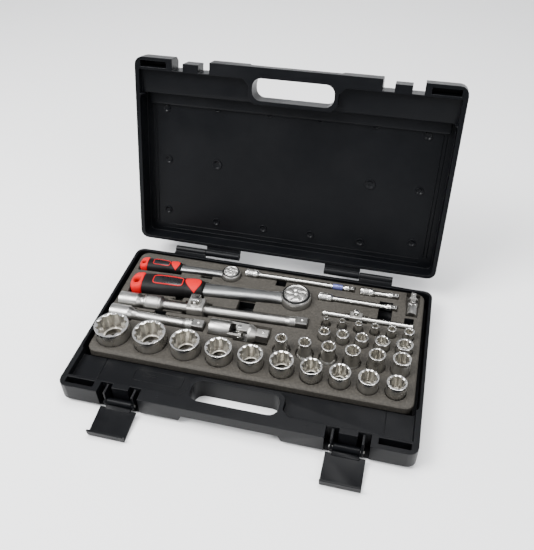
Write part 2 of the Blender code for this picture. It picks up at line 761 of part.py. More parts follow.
def socket(name, x, y, size, outside, length, proud, drive, base=0.0, sides=12):
    """A socket standing mouth up. A base wider than the working end has a waist above it."""
    foot = max(outside, base)
    bore = "star" if sides == 24 else "hex"
    bevel = SOCKET_BEVEL
    waist = length * SOCKET_WAIST
    sections = [("round", 0, foot - 2 * bevel), ("round", bevel, foot)]
    if base > outside:
        sections += [("round", waist - SOCKET_WAIST_SLOPE, foot), ("round", waist, outside)]
    else:
        sections += [("round", waist, outside)]
    floor_up = length * SOCKET_FLOOR
    hole = drive + 2 * DRIVE_PLAY
    narrow = min(hole, size * SOCKET_SHELF)
    sections += [("round", length - bevel, outside), ("round", length, outside - 2 * bevel)]
    sections += [(bore, length, size), (bore, floor_up, size), ("square", floor_up, narrow)]
    if hole > narrow:
        drive_top = min(floor_up - SOCKET_SHELF_THICK, drive * SQUARE_DEEP + SQUARE_DEEP_MORE)
        sections += [("square", drive_top, narrow), ("square", drive_top, hole)]
    sections += [("square", 0, hole)]
    made = turned(name, sections, polished(), ring=True, sides=sides)
    bottom = TRAY_TOP + proud - length
    made.location = (x, y, bottom)
    return round_pocket(x, y, foot, bottom - GAP, 16 if sides == 24 else 12)


def spread(row, left, right):
    """Centres of a row of round pieces with equal gaps, which fills the room from left to right."""
    room = right - left - sum(outside for _, outside in row)
    gap = room / (len(row) - 1)
    centres, x = [], left
    for _, outside in row:
        centres.append(x + outside / 2)
        x += outside + gap
    return centres


def front_row():
    centres = spread(FRONT_ROW, TRAY_LEFT_X + FRONT_ROW_LEFT, TRAY_RIGHT_X - FRONT_ROW_RIGHT)
    wells = []
    for x, (size, outside) in zip(centres, FRONT_ROW):
        length = HALF_LONG_LENGTH if size >= LONG_FROM else HALF_LENGTH
        y = TRAY_FRONT_Y + FRONT_ROW_LINE + outside / 2
        name = f"socket_half_{millimetres(size)}"
        wells.append(socket(name, x, y, size, outside, length, FRONT_ROW_PROUD, HALF_INCH, sides=24))
    return wells


def back_rows():
    wells = []
    rows = (
        ("half", SECOND_ROW, SECOND_ROW_Y, SECOND_ROW_LEFT, SECOND_ROW_RIGHT, SECOND_ROW_BASE),
        ("quarter", THIRD_ROW, THIRD_ROW_Y, THIRD_ROW_LEFT, THIRD_ROW_RIGHT, QUARTER_BASE),
        ("quarter", FOURTH_ROW, FOURTH_ROW_Y, FOURTH_ROW_LEFT, FOURTH_ROW_RIGHT, QUARTER_BASE),
    )
    for drive, row, from_front, left, right, base in rows:
        is_half = drive == "half"
        square = HALF_INCH if is_half else QUARTER_INCH
        length = HALF_LENGTH if is_half else QUARTER_LENGTH
        proud = SECOND_ROW_PROUD if is_half else QUARTER_PROUD
        pieces = [(size, max(outside, base)) for size, outside in row]
        first = TRAY_RIGHT_X - left - pieces[0][1] / 2
        centres = spread(pieces, first, TRAY_RIGHT_X - right + pieces[-1][1] / 2)
        for x, (size, outside) in zip(centres, row):
            name = f"socket_{drive}_{millimetres(size)}"
            y = TRAY_FRONT_Y + from_front
            wells.append(socket(name, x, y, size, outside, length, proud, square, base))
    return wells


# Ratchets


def oval(x, wide, high, sides=16):
    points = []
    for step in range(sides):
        angle = 2 * math.pi * step / sides
        points.append((x, wide / 2 * math.cos(angle), high / 2 * math.sin(angle)))
    return points


def ratchet_body(name, spec):
    """The head with its bore and dial recess, its shaft and the tang inside the grip."""
    low, high = spec["lift"] - spec["height"] / 2, spec["lift"] + spec["height"] / 2
    head = turned(name, (("round", low, spec["head"]), ("round", high, spec["head"])), satin())
    middle, inside = spec["lift"], spec["head"] / 2 - SHAFT_IN_HEAD
    thick = spec["thick"] / 2
    neck, wrist = spec["neck"] / 2, spec["wrist"] / 2
    loops = []
    radius = thick * SHAFT_CORNER
    for x, half in ((-inside, neck), (-spec["grip_at"] * WRIST_AT, wrist), (GAP - spec["grip_at"], neck)):
        loops.append([(x, y, z + middle) for y, z in rounded(-half, half, -thick, thick, radius, 2)])
    shaft = skin(name + "_shaft", loops)
    tang_end = TANG_END + CAP_PLUG + OVERLAP - spec["cap_at"]
    tang = rod(name + "_tang", tang_end, TANG_JOIN - spec["grip_at"], 0, middle, spec["tang"], sides=12)
    stem, dial = spec["stem"] + 2 * GAP, spec["dial"] + 2 * GAP
    bore = turned(name + "_bore", (("round", low - BEYOND, stem), ("round", middle, stem)))
    recess = turned(name + "_recess", (("round", high - DIAL_DEEP, dial), ("round", high + BEYOND, dial)))
    add(head, shaft, tang)
    cut(head, bore, recess)
    return [head, shaft, tang, bore, recess]


def ratchet_grip(name, spec):
    """A hollow grip, fullest near its tail."""
    wide, high, middle = spec["grip_wide"], spec["grip_high"], spec["lift"]
    start, end = -spec["grip_at"], GAP - spec["cap_at"]
    run = end - start
    bore = spec["tang"] + 2 * GAP
    loops = [oval(start + run * at, wide * w, high * h) for at, w, h in GRIP_SHAPE]
    loops += [oval(end, bore, bore), oval(start, bore, bore)]
    loops = [[(x, y, z + middle) for x, y, z in loop] for loop in loops]
    return skin(name, loops, material("grip_black", DARK, 0.0, 0.6), ring=True)


def ratchet_end_cap(name, spec):
    """The red cap with a hanging hole and a plug into the grip."""
    wide, high, middle = spec["grip_wide"], spec["grip_high"], spec["lift"]
    start, end = -spec["cap_at"], -spec["reach"]
    plug = spec["tang"]
    loops = [oval(start + CAP_PLUG, plug, plug), oval(start, plug, plug)]
    loops += [oval(start + (end - start) * at, wide * w, high * h) for at, w, h in CAP_SHAPE]
    loops = [[(x, y, z + middle) for x, y, z in loop] for loop in loops]
    cap = skin(name, loops, material("inlay_red", RED, 0.0, 0.4))
    reach = high / 2 + BEYOND
    ends = (("round", -reach, spec["hole"]), ("round", reach, spec["hole"]))
    hole = turned(name + "_hole", ends, sides=12)
    hole.data.transform(Matrix.Translation((start + (end - start) * CAP_HOLE_AT, 0, 0)))
    cut(cap, hole)
    return [cap, hole]


def ratchet(kind, place, tilt):
    spec = RATCHETS[kind]
    name = f"ratchet_{kind}"
    rest = frame(name + "_frame", place, (0, 0, tilt))
    low, high = spec["lift"] - spec["height"] / 2, spec["lift"] + spec["height"] / 2
    top = high + spec["dial_out"]
    dial_sections = (
        ("round", high - DIAL_DEEP + GAP, spec["dial"]),
        ("round", top - DIAL_EDGE, spec["dial"]),
        ("round", top, spec["dial"] - 2 * DIAL_EDGE),
    )
    dial = turned(name + "_dial", dial_sections, polished())
    under, bottom = low - COLLAR, low - COLLAR - spec["drive_long"]
    drive_sections = (
        ("round", spec["lift"] - GAP, spec["stem"]),
        ("round", under, spec["stem"]),
        ("square", under, spec["drive"]),
        ("square", bottom + SQUARE_BEVEL / 2, spec["drive"]),
        ("square", bottom, spec["drive"] - SQUARE_BEVEL),
    )
    drive = turned(name + "_drive", drive_sections, polished())
    put(rest, *ratchet_body(name + "_body", spec), ratchet_grip(name + "_grip", spec))
    put(rest, *ratchet_end_cap(name + "_end_cap", spec), dial, drive)
    return ratchet_wells(spec, rest, bottom)


def ratchet_wells(spec, rest, bottom):
    """The pockets for a ratchet's head, drive, grip and shaft, in its own frame."""
    low, side = spec["lift"] - spec["height"] / 2, spec["head"] / 2
    deep = spec["lift"] - spec["grip_high"] / 2
    wide = spec["head"] + 2 * POCKET_GAP
    turn = max(spec["stem"], spec["drive"] * math.sqrt(2)) + 2 * STEM_PLAY
    pocket = turned("pocket", (("round", low - GAP, wide), ("round", BEYOND, wide)), sides=16)
    well = turned("pocket", (("round", bottom - GAP, turn), ("round", 0.0, turn)), sides=16)
    put(rest, pocket, well)
    grip_to, shaft_to = OVERLAP - spec["grip_at"], TANG_JOIN - side
    return [
        pocket,
        well,
        channel(rest, -spec["reach"], grip_to, spec["grip_wide"] / 2, deep),
        channel(rest, -spec["grip_at"], shaft_to, spec["neck"] / 2, spec["lift"] - spec["thick"] / 2),
    ]


# Bars


def half_bar(name, length, place, tilt, collar):
    """A half-inch extension along its own X, female end first."""
    rest = frame(name + "_frame", place, (0, 0, tilt))
    female, slope = HALF_FEMALE_LONG, HALF_SHOULDER_SLOPE
    shoulder = HALF_BAR + HALF_SHOULDER
    sections = [("square", HALF_FEMALE_DEEP, HALF_HOLE), ("square", 0, HALF_HOLE), ("round", 0, HALF_FEMALE)]
    sections += [("round", female - slope, HALF_FEMALE), ("round", female, shoulder)]
    if collar:
        collar_at = female + slope
        sections += [("round", collar_at - OVERLAP, shoulder), ("round", collar_at, HALF_COLLAR)]
        sections += [("round", collar_at + HALF_COLLAR_LONG, HALF_COLLAR)]
    square_at = length - HALF_SQUARE_LONG
    neck = square_at - HALF_NECK_LONG
    bar_from = sections[-1][1] + COLLAR_SLOPE
    sections += [("round", bar_from, HALF_BAR), ("round", neck - slope, HALF_BAR)]
    sections += [("round", neck, HALF_MALE_NECK), ("round", square_at, HALF_MALE_NECK)]
    sections += [("square", square_at, HALF_INCH), ("square", length - SQUARE_BEVEL, HALF_INCH)]
    sections += [("square", length, HALF_INCH - 2 * SQUARE_BEVEL)]
    bar = along_x(turned(name, sections, satin(), sides=16))
    put(rest, bar)
    full = max(HALF_COLLAR, HALF_FEMALE) if collar else HALF_FEMALE
    full_to = bar_from if collar else female
    thin = max(HALF_MALE_NECK, shoulder, HALF_INCH) / 2 + BAR_PLAY
    wells = [channel(rest, 0, full_to, full / 2, -full / 2), channel(rest, full_to, length, thin, -thin)]
    return rest, wells


def slide_head(name, rest, at, long, wide, bore, drive, drive_long, sides):
    """The head that slides on a bar, with its square drive pointing up."""
    half = wide / 2
    outline = rounded(-half, half, -half, half, wide * T_HEAD_CORNER, 2)
    head = side_prism(name, outline, at - long / 2, at + long / 2, satin())
    ends = (("square", half - 2 * OVERLAP, drive), ("square", half + drive_long, drive))
    square = turned(name + "_square", ends, sides=8)
    square.data.transform(Matrix.Translation((at, 0, 0)))
    hole = rod(name + "_bore", at - long, at + long, 0, 0, bore + 2 * GAP, sides=sides)
    add(head, square)
    cut(head, hole)
    put(rest, head, square, hole)
    return channel(rest, at - long / 2 - T_HEAD_TRAVEL, at + long / 2 + T_HEAD_TRAVEL, half, -half)


def half_bars():
    height = TRAY_TOP - HALF_BAR_DROP
    place = (TRAY_LEFT_X + LONG_BAR_X, TRAY_FRONT_Y + LONG_BAR_Y, height)
    rest, wells = half_bar("extension_half_250mm", LONG_BAR_LENGTH, place, LONG_BAR_TILT, True)
    sizes = (T_HEAD_AT, T_HEAD_LONG, T_HEAD_WIDE, HALF_BAR, HALF_INCH, T_HEAD_DRIVE)
    wells.append(slide_head("slide_head_half", rest, *sizes, 16))
    place = (TRAY_LEFT_X + SHORT_BAR_X, TRAY_FRONT_Y + SHORT_BAR_Y, height)
    wells += half_bar("extension_half_125mm", SHORT_BAR_LENGTH, place, 0, False)[1]
    return wells


def quarter_bars():
    wells = []
    hole, neck_wide = QUARTER_HOLE, QUARTER_BAR + QUARTER_NECK
    for name, length, x, y in QUARTER_BARS:
        rest = frame(name + "_frame", (TRAY_LEFT_X + x, TRAY_BACK_Y - y, TRAY_TOP))
        square_at = length - QUARTER_SQUARE_LONG
        neck = square_at - QUARTER_NECK_LONG
        bar_from = QUARTER_FEMALE_LONG + QUARTER_SHOULDER
        sections = [("square", QUARTER_FEMALE_DEEP, hole), ("square", 0, hole), ("round", 0, QUARTER_FEMALE)]
        sections += [("round", QUARTER_FEMALE_LONG, QUARTER_FEMALE), ("round", bar_from, QUARTER_BAR)]
        sections += [("round", neck - QUARTER_SHOULDER, QUARTER_BAR), ("round", neck, neck_wide)]
        sections += [("round", square_at, neck_wide), ("square", square_at, QUARTER_INCH)]
        sections += [("square", length, QUARTER_INCH)]
        put(rest, along_x(turned(name, sections, polished(), sides=16)))
        full = QUARTER_FEMALE / 2
        thin = max(neck_wide, QUARTER_INCH) / 2 + BAR_PLAY
        wells.append(channel(rest, 0, bar_from, full, -full))
        wells.append(channel(rest, QUARTER_FEMALE_LONG, length, thin, -thin))
    return wells


def t_bar():
    rest = frame("t_bar_frame", (TRAY_RIGHT_X - T_BAR_X, TRAY_BACK_Y - T_BAR_Y, TRAY_TOP))
    end, ring, bevel = T_BAR_LENGTH, T_BAR_END, T_BAR_BEVEL
    half_bar_sections = (
        (0, ring - 2 * bevel),
        (bevel, ring),
        (T_BAR_END_LONG, ring),
        (T_BAR_END_LONG, QUARTER_BAR),
    )
    sections = [("round", at, size) for at, size in half_bar_sections]
    sections += [("round", end - at, size) for at, size in reversed(half_bar_sections)]
    put(rest, along_x(turned("slide_bar_quarter", sections, polished(), sides=12)))
    sizes = (SMALL_HEAD_AT, SMALL_HEAD_LONG, SMALL_HEAD_WIDE, QUARTER_BAR, QUARTER_INCH, SMALL_HEAD_DRIVE)
    head = slide_head("slide_head_quarter", rest, *sizes, 12)
    return [head, channel(rest, 0, end, ring / 2, -ring / 2)]


# Universal joints


def yoke_arms(name, spec, left, right, upright):
    """Two arms beside the pivot: above and below it when upright, or else at its sides."""
    outer = spec["body"] / 2 - JOINT_ARM_IN
    inner = outer - spec["arm"]
    half = spec["arm_wide"] / 2
    made = []
    for sign in (-1, 1):
        span = sorted((sign * inner, sign * outer))
        sides = (-half, half, *span) if upright else (*span, -half, half)
        made.append(box(f"{name}_arm_{sign}", left, right, *sides))
    return made


def pivot_hole(name, spec, upright):
    reach = spec["body"]
    width = spec["pin"] + 2 * GAP
    hole = turned(name, (("round", -reach, width), ("round", reach, width)), sides=12)
    if not upright:
        hole.data.transform(Matrix.Rotation(math.pi / 2, 4, "X"))
    hole.data.transform(Matrix.Translation((spec["pivot"], 0, 0)))
    return hole


def universal_joint(kind, place, turn):
    spec = JOINTS[kind]
    name = f"universal_joint_{kind}"
    rest = frame(name + "_frame", place, (0, 0, turn))
    body, pivot = spec["body"], spec["pivot"]
    hole = spec["drive"] + 2 * DRIVE_PLAY
    inlet_sections = (
        ("square", spec["bore"], hole),
        ("square", 0, hole),
        ("round", 0, body),
        ("round", spec["barrel"], body),
    )
    inlet = along_x(turned(name + "_socket_yoke", inlet_sections, satin(), sides=16))
    arms = yoke_arms(inlet.name, spec, spec["barrel"] - 2 * OVERLAP, pivot + spec["arm_end"], False)
    inlet_hole = pivot_hole(name + "_inlet_hole", spec, False)
    add(inlet, *arms)
    cut(inlet, inlet_hole)
    put(rest, inlet, *arms, inlet_hole)

    outlet_at = pivot + spec["shoulder"]
    outlet_sections = (
        ("round", outlet_at, body),
        ("round", outlet_at + JOINT_RIM, body),
        ("round", spec["square_at"], spec["drive"] * JOINT_NECK),
        ("square", spec["square_at"], spec["drive"]),
        ("square", spec["length"], spec["drive"]),
    )
    outlet = along_x(turned(name + "_drive_yoke", outlet_sections, satin(), sides=16))
    arms = yoke_arms(outlet.name, spec, pivot - spec["arm_end"], outlet_at + OVERLAP, True)
    outlet_hole = pivot_hole(name + "_outlet_hole", spec, True)
    add(outlet, *arms)
    cut(outlet, outlet_hole)
    put(rest, outlet, *arms, outlet_hole)
    put(rest, *cross(name + "_cross", spec))
    return rest


def cross(name, spec):
    """The block between the yokes, with a trunnion out of four sides."""
    half, pivot = spec["cross"] / 2, spec["pivot"]
    block = box(name, pivot - half, pivot + half, -half, half, -half, half, satin())
    reach = spec["body"] / 2 - OVERLAP
    ends = (("round", -reach, spec["pin"]), ("round", reach, spec["pin"]))
    upright = turned(name + "_upright", ends, sides=12)
    level = turned(name + "_level", ends, sides=12)
    level.data.transform(Matrix.Rotation(math.pi / 2, 4, "X"))
    for pin in (upright, level):
        pin.data.transform(Matrix.Translation((pivot, 0, 0)))
    add(block, upright, level)
    return [block, upright, level]


def universal_joints():
    wells = []
    place = (TRAY_LEFT_X + HALF_JOINT_X, TRAY_FRONT_Y + HALF_JOINT_Y, TRAY_TOP - HALF_BAR_DROP)
    half = universal_joint("half", place, 0)
    female_end = TRAY_BACK_Y - QUARTER_JOINT_Y - JOINTS["quarter"]["length"]
    place = (TRAY_RIGHT_X - QUARTER_JOINT_X, female_end, TRAY_TOP)
    quarter = universal_joint("quarter", place, math.pi / 2)
    for kind, rest in (("half", half), ("quarter", quarter)):
        spec = JOINTS[kind]
        body = spec["body"] / 2
        swing = spec["square_at"] - spec["pivot"]
        wells.append(channel(rest, 0, spec["pivot"], body, -body))
        sway = body * math.cos(JOINT_SWAY) + swing * math.sin(JOINT_SWAY)
        wells.append(channel(rest, spec["pivot"] - spec["arm_end"], spec["length"], sway, -body))
    return wells


def build():
    clear_scene()
    case_base()
    hinge = frame("lid_hinge", (0, hinge_y(), hinge_z()))
    case_lid(hinge)
    hinge.rotation_euler = (-LID_OPEN, 0, 0)
    hinge_pins()
    latches()
    insert = tray()
    wells = front_row() + back_rows()
    place = (TRAY_LEFT_X + HALF_RATCHET_X, TRAY_BACK_Y - HALF_RATCHET_Y, TRAY_TOP)
    wells += ratchet("half", place, HALF_RATCHET_TILT)
    place = (TRAY_LEFT_X + QUARTER_RATCHET_X, TRAY_BACK_Y - QUARTER_RATCHET_Y, TRAY_TOP)
    wells += ratchet("quarter", place, QUARTER_RATCHET_TILT)
    wells += half_bars() + quarter_bars() + t_bar() + universal_joints() + finger_wells()
    cut(insert, *wells)


build()
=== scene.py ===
# %% [markdown]
# # A socket wrench set in its carrying case
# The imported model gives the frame: every tool's place, its size and how it moves. This lesson puts
# finished surfaces in that frame. Each tool is a mathematical surface worked out with numpy, and the
# moulded case keeps its measured shape and gets softened edges. Everything is in metres, with +Z up and
# the hinges at +Y.

# %% Load the frame
import json
import math

import bmesh
import bpy
import numpy as np
from mathutils import Matrix, Vector


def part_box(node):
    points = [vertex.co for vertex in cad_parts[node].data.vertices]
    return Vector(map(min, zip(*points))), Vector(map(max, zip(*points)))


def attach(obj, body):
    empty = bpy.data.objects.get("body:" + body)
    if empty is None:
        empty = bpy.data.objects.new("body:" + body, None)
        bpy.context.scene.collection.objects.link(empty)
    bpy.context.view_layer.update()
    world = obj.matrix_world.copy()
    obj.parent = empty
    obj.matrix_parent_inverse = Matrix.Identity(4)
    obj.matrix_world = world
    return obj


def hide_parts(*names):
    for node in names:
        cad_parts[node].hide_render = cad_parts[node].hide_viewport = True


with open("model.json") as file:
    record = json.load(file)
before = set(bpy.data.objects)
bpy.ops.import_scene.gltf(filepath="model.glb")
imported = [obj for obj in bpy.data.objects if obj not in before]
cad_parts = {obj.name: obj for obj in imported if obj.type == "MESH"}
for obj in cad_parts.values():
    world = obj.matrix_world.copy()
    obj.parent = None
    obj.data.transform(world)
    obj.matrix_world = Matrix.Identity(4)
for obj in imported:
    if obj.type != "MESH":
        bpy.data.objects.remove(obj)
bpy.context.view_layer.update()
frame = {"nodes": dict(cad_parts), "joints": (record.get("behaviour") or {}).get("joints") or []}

# %% [markdown]
# ## The camera first
# A camera is easiest to judge before anything else is made. It stands in front of the case, a little to
# its right, and looks down by about 42 degrees, so that both the open lid and the tray are seen whole.
# The lens is slightly long, as a product photographer would choose, because a wide one would stretch
# the near corner.

# %% Place the camera
CAMERA_PLACE = (0.1549, -0.5297, 0.6334)
CAMERA_TURN = math.radians(14.756)  # to the left of straight ahead
CAMERA_TILT = math.radians(-42.32)
CAMERA_ROLL = math.radians(-1.223)
CAMERA_LENS = 42.5


def camera_axes(turn, tilt, roll):
    """Right, up and back of a camera that turns about +Z, tilts, and then rolls about its own line of
    sight."""
    ahead = np.array(
        [-math.sin(turn) * math.cos(tilt), math.cos(turn) * math.cos(tilt), math.sin(tilt)]
    )
    level = np.array([math.cos(turn), math.sin(turn), 0.0])
    rise = np.cross(level, ahead)
    right = math.cos(roll) * level + math.sin(roll) * rise
    up = -math.sin(roll) * level + math.cos(roll) * rise
    return right, up, -ahead


lens = bpy.data.cameras.new("camera")
lens.lens = CAMERA_LENS
lens.clip_start = 0.01
camera = bpy.data.objects.new("camera", lens)
bpy.context.scene.collection.objects.link(camera)
matrix = np.eye(4)
matrix[:3, :3] = np.array(camera_axes(CAMERA_TURN, CAMERA_TILT, CAMERA_ROLL)).T
matrix[:3, 3] = CAMERA_PLACE
camera.matrix_world = Matrix(matrix.tolist())
bpy.context.scene.camera = camera
print("camera at", CAMERA_PLACE)

# %% [markdown]
# ## A pale studio
# Chrome shows only what is around it. Wide soft panels give long clean highlights along the tools, and
# a pale floor that curves up behind the case keeps the background plain. The floor is a grid whose
# height is a function of the distance behind the case: flat, then a quarter circle, then straight up.

# %% Floor and lights
FLOOR_HALF = 3.0
TRAY_MIDDLE = (0, 0, 0.05)
SKY_TONE, SKY_STRENGTH = (0.93, 0.95, 1.0, 1.0), 0.72
BEND_FROM = 1.6  # distance behind the case where the floor starts to rise
BEND_RADIUS = 1.0


def sweep_height(y):
    """Zero up to the bend, then a quarter circle of the bend's radius, then as high as the bend
    allows."""
    past = np.clip(y - BEND_FROM, 0, BEND_RADIUS)
    return BEND_RADIUS - np.sqrt(BEND_RADIUS**2 - past**2)


def backdrop():
    """The floor: a grid in X and Y whose height is the sweep."""
    x = np.linspace(-FLOOR_HALF, FLOOR_HALF, 5)
    bend = np.linspace(BEND_FROM, BEND_FROM + BEND_RADIUS, 25)
    y = np.concatenate([np.linspace(-FLOOR_HALF, BEND_FROM, 5), bend[1:]])
    grid_y, grid_x = np.meshgrid(y, x, indexing="ij")
    points = np.stack([grid_x, grid_y, sweep_height(grid_y)], axis=-1)
    rows, columns = grid_x.shape
    corner = (np.arange(rows - 1)[:, None] * columns + np.arange(columns - 1)).ravel()
    faces = np.stack([corner, corner + 1, corner + columns + 1, corner + columns], axis=-1)
    mesh = bpy.data.meshes.new("studio_floor")
    mesh.from_pydata(points.reshape(-1, 3).tolist(), [], faces.tolist())
    mesh.shade_smooth()
    made = bpy.data.objects.new("studio_floor", mesh)
    bpy.context.scene.collection.objects.link(made)
    return made


def panel_light(name, place, aim, width, height, power):
    """A soft rectangular light at a place, turned to face what it lights."""
    lamp = bpy.data.lights.new(name, "AREA")
    lamp.shape = "RECTANGLE"
    lamp.size = width
    lamp.size_y = height
    lamp.energy = power
    made = bpy.data.objects.new(name, lamp)
    made.location = place
    made.rotation_euler = (Vector(aim) - Vector(place)).to_track_quat("-Z", "Y").to_euler()
    bpy.context.scene.collection.objects.link(made)


floor = backdrop()
panel_light("key_panel", (-0.9, -0.5, 1.5), TRAY_MIDDLE, 0.9, 0.9, 64)
panel_light("fill_panel", (1.3, -0.9, 1.1), TRAY_MIDDLE, 0.8, 0.8, 19)
panel_light("top_panel", (0.1, 0.25, 1.7), (0, 0.05, 0.0), 1.1, 0.5, 32)
world = bpy.context.scene.world or bpy.data.worlds.new("studio")
bpy.context.scene.world = world
world.use_nodes = True
sky = world.node_tree.nodes["Background"]
sky.inputs["Color"].default_value = SKY_TONE
sky.inputs["Strength"].default_value = SKY_STRENGTH

# %% [markdown]
# ## Shared surface effects
# Moulded plastic, brushed steel and chrome look different, but their small irregularities are made the
# same way: a pattern in three dimensions, a range of tones and a height. Each effect is a node group
# with named inputs, built once, so that every finish places it with its own values. The groups put out
# only colours, values and heights.

# %% Node group helpers
VALUE, COLOUR, VECTOR = "NodeSocketFloat", "NodeSocketColor", "NodeSocketVector"


class Nodes:
    """A node tree with short ways to add a node, set its values and link it."""

    def __init__(self, tree):
        self.tree = tree

    def add(self, kind, links=None, **values):
        node = self.tree.nodes.new(kind)
        for label, value in values.items():
            setattr(node, label, value)
        for label, value in (links or {}).items():
            if isinstance(value, bpy.types.NodeSocket):
                self.tree.links.new(value, node.inputs[label])
            else:
                node.inputs[label].default_value = value
        return node

    def maths(self, operation, first, second=0.0):
        return self.add("ShaderNodeMath", {0: first, 1: second}, operation=operation).outputs[0]

    def ramp(self, value, low, high):
        """Zero below low, one above high, and even between."""
        links = {"Value": value, "From Min": low, "From Max": high}
        return self.add("ShaderNodeMapRange", links).outputs["Result"]


def effect(name, inputs, outputs, fill):
    """A shader node group whose inside is made by fill(nodes, inputs), which returns its outputs by
    name."""
    tree = bpy.data.node_groups.new(name, "ShaderNodeTree")
    for label, kind, value in inputs:
        socket = tree.interface.new_socket(name=label, in_out="INPUT", socket_type=kind)
        if value is not None:
            socket.default_value = value
    for label, kind in outputs:
        tree.interface.new_socket(name=label, in_out="OUTPUT", socket_type=kind)
    nodes = Nodes(tree)
    start = nodes.add("NodeGroupInput")
    nodes.add("NodeGroupOutput", fill(nodes, start.outputs))
    return tree


print("sockets carry", VALUE, COLOUR, VECTOR)

# %% [markdown]
# ### Three effects
# A mould that is cut by sparks leaves fine grain, a wheel leaves parallel marks, and use leaves dull
# patches and scratches. An image would repeat and blur, so each is a noise in three dimensions with its
# own scale.

# %% Moulded grain, brush marks and scuffs
SCRATCH_SQUEEZE = (240.0, 22.0, 90.0)  # how much finer the scratches are along each axis
PATCHES, SCRATCHES = (0.42, 0.68), (0.70, 0.76)  # where each noise starts to show, and where it is full


def fill_grain(nodes, given):
    """Height: seven parts of a fine even noise and three parts of larger pits, as spark-eroded moulds
    leave."""
    at = {"Vector": given["Coordinates"], "Scale": given["Scale"], "Detail": 3.0, "Roughness": 0.6}
    fine = nodes.add("ShaderNodeTexNoise", at).outputs["Fac"]
    cells = nodes.add("ShaderNodeTexVoronoi", {"Vector": given["Coordinates"], "Scale": given["Scale"]})
    pits = nodes.ramp(cells.outputs["Distance"], 0.0, 0.5)
    both = nodes.maths("ADD", nodes.maths("MULTIPLY", fine, 0.7), nodes.maths("MULTIPLY", pits, 0.3))
    return {"Height": nodes.maths("MULTIPLY", both, given["Depth"])}


def fill_brush(nodes, given):
    """Height: a noise squeezed along one direction, so that it draws long thin marks across it."""
    scaled = nodes.add(
        "ShaderNodeVectorMath", {0: given["Coordinates"], 1: given["Squeeze"]}, operation="MULTIPLY",
    )
    noise = {"Vector": scaled.outputs[0], "Scale": 1.0, "Detail": 4.0, "Roughness": 0.7}
    lines = nodes.add("ShaderNodeTexNoise", noise).outputs["Fac"]
    return {"Height": nodes.maths("MULTIPLY", lines, given["Depth"])}


def fill_scuffs(nodes, given):
    """Broad soft patches and a few sharp scratches lift the colour towards the worn one and change the
    gloss."""
    at = given["Coordinates"]
    broad = {"Vector": at, "Scale": given["Scale"], "Detail": 5.0, "Roughness": 0.65}
    patches = nodes.ramp(nodes.add("ShaderNodeTexNoise", broad).outputs["Fac"], *PATCHES)
    long = nodes.add(
        "ShaderNodeVectorMath", {0: at, 1: SCRATCH_SQUEEZE}, operation="MULTIPLY",
    ).outputs[0]
    strokes = nodes.add(
        "ShaderNodeTexNoise", {"Vector": long, "Scale": 1.0, "Detail": 2.0},
    ).outputs["Fac"]
    scratches = nodes.maths("MULTIPLY", nodes.ramp(strokes, *SCRATCHES), patches)
    marks = nodes.maths("MAXIMUM", nodes.maths("MULTIPLY", patches, 0.6), scratches)
    worn = nodes.maths("MULTIPLY", marks, given["Amount"])
    blend = {"Factor": worn, "A": given["Colour"], "B": given["Worn colour"]}
    mixed = nodes.add("ShaderNodeMix", data_type="RGBA")
    for label, value in blend.items():
        socket = [s for s in mixed.inputs if s.name == label and s.type in ("VALUE", "RGBA")]
        nodes.tree.links.new(value, socket[0] if label == "Factor" else socket[-1])
    rough = nodes.maths(
        "ADD", given["Roughness"], nodes.maths("MULTIPLY", patches, given["Roughness change"]),
    )
    return {"Colour": [s for s in mixed.outputs if s.type == "RGBA"][0], "Roughness": rough}


GRAIN = effect(
    "moulded_grain",
    [("Coordinates", VECTOR, None), ("Scale", VALUE, 900.0), ("Depth", VALUE, 1.0)],
    [("Height", VALUE)],
    fill_grain,
)
BRUSH = effect(
    "brush_marks",
    [("Coordinates", VECTOR, None), ("Squeeze", VECTOR, (60.0, 60.0, 2400.0)), ("Depth", VALUE, 1.0)],
    [("Height", VALUE)],
    fill_brush,
)
SCUFFS = effect(
    "scuffs",
    [
        ("Coordinates", VECTOR, None),
        ("Scale", VALUE, 14.0),
        ("Colour", COLOUR, (0.5, 0.5, 0.5, 1.0)),
        ("Worn colour", COLOUR, (0.6, 0.6, 0.6, 1.0)),
        ("Amount", VALUE, 0.5),
        ("Roughness", VALUE, 0.4),
        ("Roughness change", VALUE, 0.1),
    ],
    [("Colour", COLOUR), ("Roughness", VALUE)],
    fill_scuffs,
)
print("effects", [tree.name for tree in bpy.data.node_groups])

# %% [markdown]
# ## The finishes
# One function wires the three effects to a Principled shader. What is constant over a surface, such as
# how metallic it is, is set on the shader itself. The black case has a fine spark-eroded grain that
# greys its highlights, the tray is coarser and dull, and the tools run from mirror chrome at the rims
# to a satin chrome that is brushed round each bar. A brush direction belongs to how a tool lies, so the
# satin finish is made once for each direction; the lying copy is also darker, and that darker tone is
# painted shade. The dark steel inside bores and drive holes is painted shade as well.

# %% One finish
COAT_ROUGHNESS = 0.2


